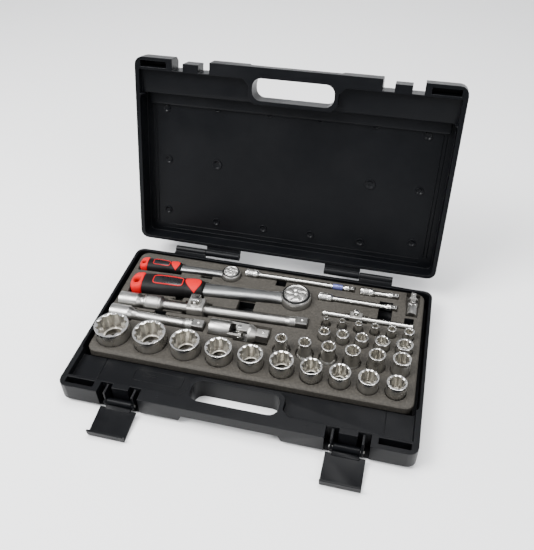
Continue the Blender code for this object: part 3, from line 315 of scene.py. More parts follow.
def finish_material(
    name, colour, worn, metallic, roughness, change, amount, patch, grain, bump, brush=None,
    specular=0.5, coat=0.0
):
    """Colour and roughness come from the scuffs. The normal comes from a height: the grain, plus the
    brush marks if the finish is brushed."""
    made = bpy.data.materials.new(name)
    made.use_nodes = True
    nodes = Nodes(made.node_tree)
    shader = made.node_tree.nodes["Principled BSDF"]
    at = nodes.add("ShaderNodeTexCoord").outputs["Object"]
    scuffs = nodes.add("ShaderNodeGroup", node_tree=SCUFFS)
    settings = {"Scale": patch, "Colour": (*colour, 1.0), "Worn colour": (*worn, 1.0), "Amount": amount}
    settings.update({"Roughness": roughness, "Roughness change": change})
    for label, value in settings.items():
        scuffs.inputs[label].default_value = value
    made.node_tree.links.new(at, scuffs.inputs["Coordinates"])
    grainy = nodes.add("ShaderNodeGroup", node_tree=GRAIN)
    grainy.inputs["Scale"].default_value, grainy.inputs["Depth"].default_value = grain
    made.node_tree.links.new(at, grainy.inputs["Coordinates"])
    height = grainy.outputs["Height"]
    if brush:
        lines = nodes.add("ShaderNodeGroup", node_tree=BRUSH)
        lines.inputs["Squeeze"].default_value = brush
        made.node_tree.links.new(at, lines.inputs["Coordinates"])
        height = nodes.maths("ADD", height, lines.outputs["Height"])
    relief = nodes.add("ShaderNodeBump", {"Height": height, "Distance": bump, "Strength": 1.0})
    made.node_tree.links.new(scuffs.outputs["Colour"], shader.inputs["Base Color"])
    made.node_tree.links.new(scuffs.outputs["Roughness"], shader.inputs["Roughness"])
    made.node_tree.links.new(relief.outputs["Normal"], shader.inputs["Normal"])
    shader.inputs["Metallic"].default_value = metallic
    shader.inputs["Coat Weight"].default_value = coat
    shader.inputs["Coat Roughness"].default_value = COAT_ROUGHNESS
    shader.inputs["Specular IOR Level"].default_value = specular
    return made


print("a finish places", [GRAIN.name, BRUSH.name, SCUFFS.name])

# %% [markdown]
# ### A table of finishes
# Nineteen finishes differ only in their numbers, so they are rows of one table. A row holds the colour
# and the worn colour, how metallic and how rough it is, how far the roughness changes, how much it is
# worn, the patches in a metre, the grain's scale and depth, and the height of the relief in metres.
# What only some finishes need comes by name.

# %% Make the nineteen finishes
# Brushed round an upright tool, and round a lying one.
STANDING, LYING = (70.0, 70.0, 3000.0), (3000.0, 70.0, 70.0)
FINISHES = {
    "case_black_plastic": (
        (0.0026, 0.0028, 0.0034), (0.0070, 0.0072, 0.0080), 0.0, 0.33, 0.10, 0.5, 9.0, (1500.0, 1.0),
        0.00010),
    "latch_black_plastic": (
        (0.0018, 0.0020, 0.0026), (0.0055, 0.0058, 0.0066), 0.0, 0.30, 0.10, 0.5, 20.0, (1500.0, 0.8),
        0.00008),
    "lid_black_plastic": (
        (0.0024, 0.0027, 0.0034), (0.0075, 0.0078, 0.0088), 0.0, 0.29, 0.12, 0.6, 7.0, (1300.0, 0.8),
        0.00008),
    "tray_grey_plastic": (
        (0.028, 0.0255, 0.0215), (0.072, 0.065, 0.055), 0.0, 0.66, 0.10, 1.0, 420.0, (1100.0, 1.4),
        0.00026),
    "mirror_chrome": (
        (0.74, 0.73, 0.70), (0.58, 0.57, 0.54), 1.0, 0.17, 0.10, 0.5, 60.0, (700.0, 0.25), 0.00004),
    "satin_chrome_standing": (
        (0.54, 0.53, 0.50), (0.40, 0.39, 0.37), 1.0, 0.27, 0.12, 0.6, 50.0, (900.0, 0.4), 0.00005),
    # The lying copy of the satin chrome is brushed along the tool, and its darker tone than the
    # standing copy is painted shade.
    "satin_chrome_lying_painted_shade": (
        (0.34, 0.335, 0.32), (0.22, 0.215, 0.205), 1.0, 0.30, 0.12, 0.6, 40.0, (900.0, 0.4), 0.00005),
    "matt_chrome": (
        (0.42, 0.41, 0.39), (0.28, 0.27, 0.255), 1.0, 0.36, 0.10, 0.5, 60.0, (1600.0, 1.0), 0.00008),
    "shaft_grey_chrome": (
        (0.27, 0.275, 0.275), (0.18, 0.182, 0.185), 1.0, 0.34, 0.10, 0.6, 30.0, (1500.0, 0.8), 0.00006),
    "bore_bright_steel": (
        (0.74, 0.72, 0.67), (0.50, 0.48, 0.44), 1.0, 0.30, 0.10, 0.6, 90.0, (900.0, 0.6), 0.00006),
    # Dark steel for the insides of bores and drive holes: painted shade, a darker copy of the bright
    # bore steel above.
    "bore_painted_shade_steel": (
        (0.20, 0.19, 0.17), (0.12, 0.115, 0.10), 1.0, 0.36, 0.12, 0.6, 70.0, (900.0, 0.8), 0.00008),
    "dial_cast_chrome": (
        (0.62, 0.61, 0.59), (0.22, 0.215, 0.21), 1.0, 0.30, 0.16, 1.0, 330.0, (420.0, 1.0), 0.00016),
    "dial_ring_dark": (
        (0.004, 0.004, 0.0042), (0.012, 0.012, 0.012), 0.0, 0.45, 0.10, 0.5, 80.0, (900.0, 1.0),
        0.00006),
    "grip_black_rubber": (
        (0.0030, 0.0027, 0.0028), (0.0085, 0.0078, 0.0078), 0.0, 0.46, 0.10, 0.6, 40.0, (1900.0, 1.2),
        0.00012),
    "label_gloss_black": (
        (0.006, 0.006, 0.007), (0.015, 0.014, 0.014), 0.0, 0.26, 0.08, 0.4, 60.0, (900.0, 0.3),
        0.00003),
    "grip_red_plastic": (
        (0.52, 0.004, 0.008), (0.40, 0.005, 0.008), 0.0, 0.46, 0.10, 0.5, 50.0, (1400.0, 0.5), 0.00005),
    "band_blue_violet": (
        (0.07, 0.08, 0.24), (0.16, 0.17, 0.32), 0.55, 0.26, 0.10, 0.5, 90.0, (900.0, 0.4), 0.00004),
    "pin_drawn_steel": (
        (0.52, 0.515, 0.50), (0.36, 0.35, 0.33), 1.0, 0.30, 0.12, 0.6, 80.0, (900.0, 0.5), 0.00005),
    "studio_pale": (
        (0.90, 0.90, 0.90), (0.88, 0.88, 0.88), 0.0, 0.75, 0.05, 0.5, 2.0, (60.0, 0.2), 0.00002),
}
SPECULAR = {
    "case_black_plastic": 0.12, "latch_black_plastic": 0.07, "lid_black_plastic": 0.10,
    "tray_grey_plastic": 0.25,
    "dial_ring_dark": 0.12, "grip_black_rubber": 0.13, "grip_red_plastic": 0.10,
}
BRUSHED = {
    "satin_chrome_standing": STANDING, "satin_chrome_lying_painted_shade": LYING, "shaft_grey_chrome": LYING,
    "pin_drawn_steel": LYING,
}
COATED = {"label_gloss_black": 0.1}


def from_table(name):
    """The finish in a row of the table, with what the three short tables add to it."""
    extra = {
        "brush": BRUSHED.get(name), "specular": SPECULAR.get(name, 0.5), "coat": COATED.get(name, 0.0),
    }
    return finish_material(name, *FINISHES[name], **extra)


(
    case_black, latch_black, lid_black, tray_grey, chrome, satin_standing, satin_lying_painted_shade, matt_chrome,
    shaft_grey,
    bore_bright, bore_painted_shade, dial_chrome, dial_dark, grip_black, label_black, grip_red, band_blue,
    pin_steel, floor_pale,
) = [from_table(name) for name in FINISHES]
floor.data.materials.append(floor_pale)
print("finishes", len(bpy.data.materials))

# %% [markdown]
# ## Surfaces from grids
# A turned tool, a lofted grip and a moulded block are all the same kind of mesh: rings of points,
# joined ring to ring. A tube has a cap at each end, and a loop joins its last ring to its first, as the
# outside and bore of a socket do. The rings are worked out as whole arrays and go into a mesh in one
# call.

# %% Mesh from rings
def ring_quads(rows, around, loop):
    """Each quad joins neighbours on one ring to the same two on the next, and the last column meets the
    first."""
    row = np.arange(rows if loop else rows - 1)[:, None]
    column = np.arange(around)[None, :]
    next_row, next_column = (row + 1) % rows, (column + 1) % around
    corners = (row * around + column, row * around + next_column, next_row * around + next_column)
    return np.stack([*corners, next_row * around + column], axis=-1).reshape(-1, 4)


def inside_out(points, quads):
    """True if the quads' signed volume about their middle is negative, so that they face inwards."""
    corners = (points - points.mean(axis=0))[quads]
    first = np.einsum("ij,ij->", corners[:, 0], np.cross(corners[:, 1], corners[:, 2]))
    second = np.einsum("ij,ij->", corners[:, 0], np.cross(corners[:, 2], corners[:, 3]))
    return first + second < 0


def piece(name, shells, finishes, body, stands_for=(), sharp=34):
    """An object from shells of (grid of rings, loop, finish of each ring or of all), which rides on a
    CAD body."""
    points, faces, looks, first = [], [], [], 0
    for grid, loop, look in shells:
        rows, around = grid.shape[:2]
        flat = grid.reshape(-1, 3)
        quads = ring_quads(rows, around, loop)
        look_rows = np.broadcast_to(np.asarray(look), (rows,))
        quad_looks = np.repeat(look_rows if loop else look_rows[:-1], around)
        ends = [] if loop else [
            list(range(around))[::-1], list(range((rows - 1) * around, rows * around)),
        ]
        turned_round = inside_out(flat, quads)
        quads = quads[:, ::-1] if turned_round else quads
        ends = [end[::-1] for end in ends] if turned_round else ends
        points.append(flat)
        faces += (quads + first).tolist() + [[corner + first for corner in end] for end in ends]
        looks += quad_looks.tolist() + ([] if loop else [int(look_rows[0]), int(look_rows[-1])])
        first += len(flat)
    mesh = bpy.data.meshes.new(name)
    mesh.from_pydata(np.concatenate(points).tolist(), [], faces)
    mesh.polygons.foreach_set("material_index", np.array(looks, dtype=np.int32))
    for finish in finishes:
        mesh.materials.append(finish)
    mesh.shade_smooth()
    mesh.set_sharp_from_angle(angle=math.radians(sharp))
    mesh.update()
    made = bpy.data.objects.new(name, mesh)
    bpy.context.scene.collection.objects.link(made)
    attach(made, body)
    if stands_for:
        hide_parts(*stands_for)
    return made


print(
    "a tube of 3 rings of 8 points has", len(ring_quads(3, 8, False)), "quads, and a loop",
    len(ring_quads(3, 8, True)),
)

# %% [markdown]
# ### Outlines and profiles
# Tools like these are round, square or twelve-sided in section, and one profile often runs through all
# three. So a section is a distance that depends on the angle, and a profile is a row of such sections
# with softened corners.

# %% Outlines, rounded profiles and places
STAR_EASE, STAR_RELIEF = 0.035, 0.025


def reach(kind, half, angles):
    """Distance from the middle to the edge: constant for round, half over the larger of cosine and sine
    for square with turned-off corners, and the nearer of twelve flats, 30 degrees apart, for a
    twelve-point star. A star's points are relieved, so that they reach a little further out than a
    nut's corners."""
    if kind == "square":
        return np.minimum(half / np.maximum(abs(np.cos(angles)), abs(np.sin(angles))), half * 1.32)
    if kind == "star":
        within = angles % (math.pi / 6)
        flats = half / np.cos(np.minimum(within, math.pi / 6 - within) - math.pi / 6)
        return flats * (1 + STAR_EASE + STAR_RELIEF * np.cos(12 * angles))
    if kind == "block":
        return half / (abs(np.cos(angles)) ** 9 + abs(np.sin(angles)) ** 9) ** (1 / 9)
    return np.full_like(angles, half)


def rounded(corners, radius, steps=3):
    """A profile of (along, half) whose corners are each a short parabola that starts and ends radius
    away."""
    path = [corners[0]]
    for before, corner, after in zip(corners, corners[1:], corners[2:]):
        before, corner, after = np.array(before), np.array(corner), np.array(after)
        room = min(np.linalg.norm(before - corner), np.linalg.norm(after - corner)) * 0.45
        cut = min(radius, room)
        start = corner + (before - corner) / max(np.linalg.norm(before - corner), 1e-9) * cut
        end = corner + (after - corner) / max(np.linalg.norm(after - corner), 1e-9) * cut
        t = np.linspace(0, 1, steps + 1)[:, None]
        path += [tuple(p) for p in (1 - t) ** 2 * start + 2 * t * (1 - t) * corner + t**2 * end]
    return path + [corners[-1]]


def turned(rows, sides=96):
    """Rings round +Z from rows of (kind, along, half)."""
    angles = np.arange(sides) / sides * 2 * math.pi
    reaches = np.stack([reach(kind, half, angles) for kind, _, half in rows])
    along = np.array([at for _, at, _ in rows])[:, None] * np.ones(sides)
    return np.stack([reaches * np.cos(angles), reaches * np.sin(angles), along], axis=-1)


def round_rows(corners, radius=0.0006, steps=3):
    """Rows of round rings from a profile whose corners are rounded."""
    return [("round", at, half) for at, half in rounded(corners, radius, steps)]


def lying(grid):
    """Rings made round +Z, laid along +X."""
    return grid[..., [2, 0, 1]]


def placed(grid, place, tilt=0.0):
    """The grid turned about +Z and moved to its place."""
    c, s = math.cos(tilt), math.sin(tilt)
    spin = np.array([[c, s, 0], [-s, c, 0], [0, 0, 1]])
    return grid @ spin + np.asarray(place)


def ball(place, radius, rows=9, around=20):
    """A sphere's rings from near one pole to near the other."""
    rise = np.linspace(0.12, math.pi - 0.12, rows)
    return turned(
        [("round", -radius * math.cos(a), radius * math.sin(a)) for a in rise], around,
    ) + np.asarray(place)


def knurl(start, end, half, teeth=36, pitch=0.0016, depth=0.00028):
    """A band whose radius dips where two sets of opposite spirals cross: depth times the larger of
    their cosines."""
    rows = max(int((end - start) / pitch * 4), 8)
    along = np.linspace(start, end, rows)[:, None]
    angles = np.arange(teeth * 4)[None, :] / (teeth * 4) * 2 * math.pi
    turn = 2 * math.pi * along / pitch / 2
    ridges = np.maximum(np.cos(teeth * angles / 2 + turn), np.cos(teeth * angles / 2 - turn)) ** 2
    fade = np.clip(np.minimum(along - start, end - along) / 0.0008, 0, 1)
    radius = half - depth + depth * ridges * fade - (1 - fade) * 0.0004
    return np.stack(
        [radius * np.cos(angles), radius * np.sin(angles), along * np.ones_like(angles)], axis=-1,
    )


print("a knurled band has", knurl(0, 0.02, 0.011).shape[:2], "rings and points")

# %% [markdown]
# ## Sockets
# A socket is one closed loop: up the outside, over a rounded rim, down a twelve-point bore to a floor
# with a round hole, and through the square drive hole back to the foot. Sockets whose nut is smaller
# than their drive have a wider foot and a waist. The rim and the bore's walls are polished, the body
# keeps its brushed satin skin, and the bore's floor corner, the hole under it and the drive hole are a
# dark steel, which is painted shade.

# %% Socket sizes
HALF_INCH, QUARTER_INCH, PLAY = 0.0127, 0.00635, 0.0003
HALF_FOOT, QUARTER_FOOT = 0.0222, 0.01203
HALF_OUTSIDES = {
    32: 0.0430, 30: 0.0410, 27: 0.0365, 24: 0.0330, 22: 0.0305, 21: 0.0290, 19: 0.0258, 18: 0.0253,
    17: 0.0240,
    16: 0.0232, 10: 0.0150, 11: 0.0158, 12: 0.0172, 13: 0.0185, 14: 0.0200, 15: 0.0216,
}
QUARTER_OUTSIDES = {
    9: 0.0149, 10: 0.0160, 11: 0.0167, 12: 0.0188, 13: 0.0204, 4: 0.0069, 5: 0.0076, 5.5: 0.0092,
    6: 0.0095,
    7: 0.0111, 8: 0.0129,
}
# The third place holds the dark bore steel, which is painted shade inside bores and holes.
BRIGHT, SATIN, PAINTED_SHADE, WALLS = 0, 1, 2, 3  # places in a piece's list of finishes
CORNER = 0.5774  # half a hexagon's width over its corners, for a width of one over its flats
BORE_FLOOR = 0.52  # share of the length below the bore
RIM_BAND = 0.0042  # height of the polished band
print("sizes", len(HALF_OUTSIDES), "half-inch and", len(QUARTER_OUTSIDES), "quarter-inch")

# %% [markdown]
# ### One loop for each socket
# A socket could be a cylinder with a hole cut out of it, but cut meshes have untidy edges. One loop of
# rings gives the same solid with even faces, and each ring says which finish it starts.

# %% Socket surfaces
def socket_rows(nut, outside, foot, length, drive):
    """The profile, and which finish each ring starts."""
    points = nut * CORNER * (1 + STAR_EASE + STAR_RELIEF)
    rim = min(points + 0.0001, outside / 2 - 0.0005)
    hole = drive / 2 + PLAY
    floor_up = length * BORE_FLOOR
    corners = [(0, foot / 2 - 0.0018), (0, foot / 2)]
    if foot > outside + 0.0002:
        corners += [(length * 0.36, foot / 2), (length * 0.46, outside / 2)]
    else:
        groove = length * 0.30
        corners += [
            (groove, foot / 2), (groove + 0.0005, foot / 2 - 0.0004),
            (groove + 0.0013, foot / 2 - 0.0004),
        ]
        corners += [(groove + 0.0018, outside / 2)]
    band = length - RIM_BAND
    step = outside / 2 + 0.00005
    corners += [(band, outside / 2), (band + 0.0001, step), (length, outside / 2), (length, rim)]
    rows = round_rows(corners)
    looks = [SATIN if at < band - 0.0002 else BRIGHT for _, at, _ in rows]
    drive_top = min(floor_up - 0.0015, drive * 0.9 + 0.004)
    bore = [
        ("star", length - 0.0006, nut / 2), ("star", length - 0.004, nut / 2),
        ("star", floor_up, nut / 2),
    ]
    bore += [("round", floor_up - 0.0002, nut * 0.44), ("round", floor_up - 0.0002, nut * 0.37)]
    bore += [("round", floor_up - 0.0006, nut * 0.36), ("round", drive_top, nut * 0.36)]
    bore += [("square", drive_top, hole), ("square", 0.0, hole)]
    # The bore's walls and floor ring take the bright steel. The band where the walls meet the floor,
    # the hole under the floor and the square drive hole take the dark steel, which is painted shade.
    looks += [WALLS, WALLS, PAINTED_SHADE, WALLS, PAINTED_SHADE, PAINTED_SHADE, PAINTED_SHADE, PAINTED_SHADE, SATIN]
    return rows + bore, looks


def make_socket(node, drive, outsides, foot):
    """The finished socket of a node: its nut size is in the name, and its length is that of the node's
    box."""
    low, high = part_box(node)
    label = float(node.split("_")[-1][:-2])
    outside = outsides[label]
    rows, looks = socket_rows(label / 1000, outside, max(outside, foot), high.z - low.z, drive)
    middle = ((low.x + high.x) / 2, (low.y + high.y) / 2, low.z)
    shells = [(turned(rows) + np.array(middle), True, np.array(looks))]
    finishes = [chrome, satin_standing, bore_painted_shade, bore_bright]
    return piece(node + "_finished", shells, finishes, node, [node], 24)


sockets = []
for node in sorted(frame["nodes"]):
    if node.startswith("socket_half"):
        sockets.append(make_socket(node, HALF_INCH, HALF_OUTSIDES, HALF_FOOT))
    if node.startswith("socket_quarter"):
        sockets.append(make_socket(node, QUARTER_INCH, QUARTER_OUTSIDES, QUARTER_FOOT))
print("sockets", len(sockets), "faces", sum(len(s.data.polygons) for s in sockets))

# %% [markdown]
# ## Extension bars
# A bar is turned from one rod: a square hole in the thick end, a neck, and a square with a spring ball
# at the thin end. The profile's corners are rounded by a fraction of a millimetre, because a sharp edge
# has no highlight. The collars are knurled by geometry, so that their light breaks up as it turns.

# %% Where the lying tools rest
joints = {joint["name"]: joint for joint in frame["joints"]}
slide = joints["slide_head_half_slide"]["axis"]
LONG_TILT = math.atan2(slide[1], slide[0])


def level_start(node):
    """The left end of a bar that lies along +X."""
    low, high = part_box(node)
    return (low.x, (low.y + high.y) / 2, (low.z + high.z) / 2)


def tilted_start(node, tilt, half):
    """The left end of a bar that lies at a small angle: the box's left side, and half a width in from
    its front."""
    low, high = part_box(node)
    return (low.x + half * math.sin(tilt), low.y + half * math.cos(tilt), (low.z + high.z) / 2)


def ending(length, square, long, half, neck):
    """Rows for the neck and the chamfered square at a bar's thin end."""
    at = length - long
    rows = [("round", at, neck), ("square", at + 0.0001, half), ("square", length - 0.0012, half)]
    return rows + [("square", length - 0.0003, half - 0.0006), ("square", length, half - 0.0011)]


def hollow(deep, half):
    """Rows for the square hole in a bar's thick end, from its floor to its mouth."""
    return [("square", deep, half), ("square", 0.0006, half), ("square", 0.0, half + 0.0004)]


print("the long bar lies", round(math.degrees(LONG_TILT), 2), "degrees off the case's front")

# %% [markdown]
# ### The two half-inch bars
# They differ in length, and the long one has a collar that holds the sliding head's end of the bar.
# Both come from one profile. The knurled bands are shells of their own round the bar.

# %% Half-inch bars
HOLE = HALF_INCH / 2 + PLAY
LONG_BAR, SHORT_BAR = 0.252, 0.127


def half_bar(node, length, place, tilt, collar):
    """A turned bar: thick end, neck and square, and the collar that only the long one has."""
    corners = [(0, 0.0101), (0, 0.0110), (0.0245, 0.0110), (0.0250, 0.0109), (0.030, 0.0079)]
    if collar:
        corners += [
            (0.034, 0.0079), (0.035, 0.01125), (0.0372, 0.01125), (0.0375, 0.0108), (0.0545, 0.0108),
        ]
        corners += [(0.0548, 0.01125), (0.057, 0.01125), (0.061, 0.0064)]
    else:
        corners += [(0.036, 0.0064)]
    corners += [(length - 0.0285, 0.0064), (length - 0.0235, 0.0080)]
    corners += [(length - 0.0160, 0.0080), (length - 0.0155, 0.0076)]
    rows = hollow(0.016, HOLE) + round_rows(corners, 0.0009) + ending(
        length, "square", 0.0155, 0.00635, 0.0074,
    )
    # The square hole's walls take the dark bore steel, which is painted shade.
    looks = [PAINTED_SHADE, PAINTED_SHADE, BRIGHT] + [SATIN] * (len(rows) - 3)
    shells = [(lying(turned(rows)), False, np.array(looks))]
    shells.append((lying(knurl(0.0035, 0.0165, 0.0111)), False, SATIN))
    if collar:
        shells.append((lying(knurl(0.0374, 0.0546, 0.01122)), False, SATIN))
    shells.append((ball((length - 0.0072, 0, 0.0056), 0.0021), False, BRIGHT))
    shells = [(placed(grid, place, tilt), loop, look) for grid, loop, look in shells]
    return piece(
        node + "_finished", shells, [chrome, satin_lying_painted_shade, bore_painted_shade], node, [node], 30,
    )


LONG_START = tilted_start("extension_half_250mm", LONG_TILT, 0.0110)
bars = [half_bar("extension_half_250mm", LONG_BAR, LONG_START, LONG_TILT, True)]
bars.append(
    half_bar("extension_half_125mm", SHORT_BAR, level_start("extension_half_125mm"), 0.0, False)
)
print(
    "long bar starts at", [round(v, 4) for v in LONG_START], "tilt", round(math.degrees(LONG_TILT), 2),
)

# %% [markdown]
# ### The quarter-inch bars
# Three thin chrome bars have one profile, stretched in the middle. The longest also has a coloured
# band, which is a short sleeve round its shaft.

# %% Quarter-inch bars
def quarter_bar(node):
    """A thinner turned bar, as long as its node."""
    low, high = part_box(node)
    length = high.x - low.x
    corners = [
        (0, 0.0054), (0, 0.0060), (0.0034, 0.0060), (0.0036, 0.0056), (0.0112, 0.0056),
        (0.0114, 0.0060),
    ]
    corners += [(0.0155, 0.0060), (0.0190, 0.0027), (length - 0.016, 0.0027), (length - 0.013, 0.0041)]
    corners += [(length - 0.0083, 0.0041), (length - 0.0080, 0.0038)]
    rows = hollow(0.009, QUARTER_INCH / 2 + PLAY) + round_rows(corners, 0.0005)
    rows += ending(length, "square", 0.008, QUARTER_INCH / 2, 0.0037)
    # The square hole's walls take the dark bore steel, which is painted shade.
    looks = [PAINTED_SHADE, PAINTED_SHADE] + [BRIGHT] * (len(rows) - 2)
    shells = [(lying(turned(rows, 64)), False, np.array(looks))]
    shells.append((lying(knurl(0.0036, 0.0112, 0.00595, 24, 0.0012, 0.0002)), False, SATIN))
    shells.append((ball((length - 0.0038, 0, 0.0027), 0.0012), False, BRIGHT))
    shells = [(placed(grid, level_start(node)), loop, look) for grid, loop, look in shells]
    return piece(
        node + "_finished", shells, [chrome, satin_lying_painted_shade, bore_painted_shade], node, [node],
        30,
    )


for long in (150, 100, 50):
    bars.append(quarter_bar(f"extension_quarter_{long}mm"))
start = np.array(level_start("extension_quarter_150mm"))
sleeve = round_rows([(0.1215, 0.0034), (0.1215, 0.0040), (0.1345, 0.0040), (0.1345, 0.0034)], 0.0003)
sleeve += [("round", 0.1345, 0.0031), ("round", 0.1215, 0.0031)]
piece(
    "extension_quarter_150mm_band", [(lying(turned(sleeve, 64)) + start, True, 0)], [band_blue],
    "extension_quarter_150mm",
)
print("bars", [bar.name for bar in bars])

# %% [markdown]
# ## Sliding heads
# A sliding head is a block with a bore for its bar and a square drive on top. Its outline is a rounded
# square, from a power of cosine plus a power of sine, and the loop runs along the outside and back
# through the bore.

# %% The two sliding heads and the small bar
def slide_head(node, place, tilt, at, long, wide, bore, drive, high):
    """A bored block at a distance along its bar, with a collar, a square drive on top and its spring
    ball."""
    half = wide / 2
    near, far, lip = at - long / 2, at + long / 2, bore / 2 + 0.0012
    corners = rounded([(near, lip), (near, half), (far, half), (far, lip)], wide * 0.11, 4)
    kinds = ["round"] + ["block"] * (len(corners) - 2) + ["round"]
    rows = [(kind, along, size) for kind, (along, size) in zip(kinds, corners)]
    inner = bore / 2 + 0.0004
    rows += [("round", far - 0.0004, inner), ("round", near + 0.0004, inner)]
    stub = [("square", half - 0.001, drive / 2), ("square", half + high - 0.0011, drive / 2)]
    stub += [
        ("square", half + high - 0.0002, drive / 2 - 0.0006),
        ("square", half + high, drive / 2 - 0.0011),
    ]
    foot, top = half - 0.002, half + 0.0006
    ring = [(foot, drive * 0.4), (foot, drive * 0.68), (top, drive * 0.66), (top, drive * 0.4)]
    collar = round_rows(ring, 0.0004)
    shells = [
        (lying(turned(rows)), True, 1),
        (turned(stub) + np.array([at, 0, 0]), False, 0),
        (turned(collar, 64) + np.array([at, 0, 0]), False, 1),
        (ball((at, -drive / 2 + drive * 0.06, half + high * 0.5), drive * 0.17), False, 0),
    ]
    shells = [(placed(grid, place, tilt), loop, look) for grid, loop, look in shells]
    return piece(node + "_finished", shells, [chrome, matt_chrome], node, [node], 30)


slide_head("slide_head_half", LONG_START, LONG_TILT, 0.105, 0.0225, 0.0235, 0.0128, HALF_INCH, 0.011)
T_BAR_START = level_start("slide_bar_quarter")
slide_head("slide_head_quarter", T_BAR_START, 0.0, 0.0429, 0.0157, 0.012, 0.0064, QUARTER_INCH, 0.0075)
BAR_LONG = 0.115
ends = [(0, 0.0024), (0, 0.0040), (0.004, 0.0040), (0.0042, 0.0032)]
profile = ends + [(BAR_LONG - at, half) for at, half in reversed(ends)]
t_bar = lying(turned(round_rows(profile, 0.0006), 64)) + np.array(T_BAR_START)
piece(
    "slide_bar_quarter_finished", [(t_bar, False, 0)], [chrome], "slide_bar_quarter", [
        "slide_bar_quarter"
    ],
)
print("small bar starts at", [round(v, 4) for v in T_BAR_START])

# %% [markdown]
# ## Universal joints
# Two forks hold a cross between them, so each half turns about its own pin. A fork's arm is a slab
# whose free end is half an ellipse, and the pins are turned studs whose ends show in the arms. The
# three parts ride on three bodies.

# %% Forks, cross and pins
def slab(outline, low, high, bevel):
    """Rings of an outline in X and Y, from low to high, whose first and last are drawn in to bevel the
    edge."""
    outline = np.asarray(outline)
    middle = outline.mean(axis=0)
    small = middle + (outline - middle) * (1 - bevel / abs(outline - middle).max(axis=0))
    layers = ((small, low), (outline, low + bevel), (outline, high - bevel), (small, high))
    return np.stack([np.column_stack([flat, np.full(len(flat), z)]) for flat, z in layers])


def arm_outline(root, pivot, tip, half):
    """Straight from the root to the pivot, then half an ellipse that ends at the tip."""
    turn = np.linspace(-math.pi / 2, math.pi / 2, 21)
    nose = np.column_stack([pivot + (tip - pivot) * np.cos(turn), half * np.sin(turn)])
    return np.vstack([[root, -half], nose, [root, half]])


def fork_arms(root, spec, tip, upright):
    """The two arms of a fork: one slab above the axis and its mirror below, or both turned on their
    side."""
    outer = spec["body"] / 2 - 0.0008
    inner = outer - spec["arm"]
    outline = arm_outline(root, spec["pivot"], tip, spec["wide"] / 2)
    arms = [
        slab(outline, inner, outer, spec["arm"] * 0.2),
        slab(outline, -outer, -inner, spec["arm"] * 0.2),
    ]
    return arms if upright else [arm[..., [0, 2, 1]] for arm in arms]


def stud(spec, upright):
    """A pin across the joint, with both ends rounded."""
    reach_out = spec["body"] / 2 - 0.0005
    pin = spec["pin"]
    end = [(-reach_out, pin * 0.3), (-reach_out, pin / 2 - 0.0002), (-reach_out + 0.0004, pin / 2)]
    corners = end + [(-at, half) for at, half in reversed(end)]
    grid = turned(round_rows(corners, 0.0002), 48)
    grid = grid if upright else grid[..., [0, 2, 1]]
    return grid + np.array([spec["pivot"], 0, 0])


def universal_joint(kind, place, tilt, spec):
    """The yoke with the square hole, the cross with its pins, and the yoke with the square drive."""
    name, half = f"universal_joint_{kind}", spec["body"] / 2
    out = spec["pivot"] + spec["shoulder"]
    barrel = hollow(spec["bore"], spec["drive"] / 2 + PLAY)
    barrel += round_rows(
        [(0, half * 0.9), (0, half), (spec["barrel"], half), (spec["barrel"], half * 0.5)], half * 0.06,
    )
    # The square hole in the barrel takes the dark bore steel, which is painted shade.
    female = [(lying(turned(barrel)), False, np.array([PAINTED_SHADE, PAINTED_SHADE] + [SATIN] * (len(barrel) - 2)))]
    female.append(
        (
            lying(knurl(half * 0.35, half * 1.25, half + 0.0001, 30, half * 0.13, half * 0.022)),
            False, SATIN,
        )
    )
    female += [
        (arm, False, WALLS)
        for arm in fork_arms(spec["barrel"] - 0.002, spec, spec["pivot"] + spec["end"], False)
    ]
    tail = spec["long"] - spec["square"]
    neck = [
        (out, half * 0.4), (out, half), (out + half * 0.25, half),
        (spec["square"], spec["drive"] * 0.6),
    ]
    neck = round_rows(neck, half * 0.06)
    neck += ending(spec["long"], "square", tail, spec["drive"] / 2, spec["drive"] * 0.59)
    male = [(lying(turned(neck)), False, WALLS)]
    male += [
        (arm, False, WALLS) for arm in fork_arms(out + 0.001, spec, spec["pivot"] - spec["end"], True)
    ]
    male.append(
        (
            ball((spec["long"] - tail * 0.45, 0, spec["drive"] * 0.43), spec["drive"] * 0.17), False,
            BRIGHT,
        )
    )
    side = spec["cross"] / 2
    block = [
        ("block", at, size) for at,
        size in rounded([(-side, 0.001), (-side, side), (side, side), (side, 0.001)], 0.0006)
    ]
    cross = [(turned(block, 48) + np.array([spec["pivot"], 0, 0]), False, BRIGHT)]
    cross += [(stud(spec, True), False, BRIGHT), (stud(spec, False), False, BRIGHT)]
    finishes = [chrome, satin_lying_painted_shade, bore_painted_shade, matt_chrome]
    parts = (("_socket_yoke", name, female), ("_cross", name + "_cross", cross))
    for suffix, body, shells in (*parts, ("_drive_yoke", name + "_drive_yoke", male)):
        shells = [(placed(grid, place, tilt), loop, look) for grid, loop, look in shells]
        piece(name + suffix + "_finished", shells, finishes, body, [name + suffix], 30)


HALF_JOINT = dict(
    drive=HALF_INCH, body=0.024, bore=0.015, barrel=0.027, pivot=0.039, arm=0.0032, wide=0.012,
    end=0.005, shoulder=0.0115, square=0.0605, long=0.0765, cross=0.0095, pin=0.0056,
)
QUARTER_JOINT = dict(
    drive=QUARTER_INCH, body=0.0130, bore=0.008, barrel=0.0150, pivot=0.0215, arm=0.0018, wide=0.0064,
    end=0.0027, shoulder=0.0062, square=0.0340, long=0.042, cross=0.0050, pin=0.0030,
)
universal_joint("half", level_start("universal_joint_half_socket_yoke"), 0.0, HALF_JOINT)
low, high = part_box("universal_joint_quarter_socket_yoke")
quarter_place = ((low.x + high.x) / 2, low.y, (low.z + high.z) / 2)
universal_joint("quarter", quarter_place, math.pi / 2, QUARTER_JOINT)
print("universal joints ride on six bodies")

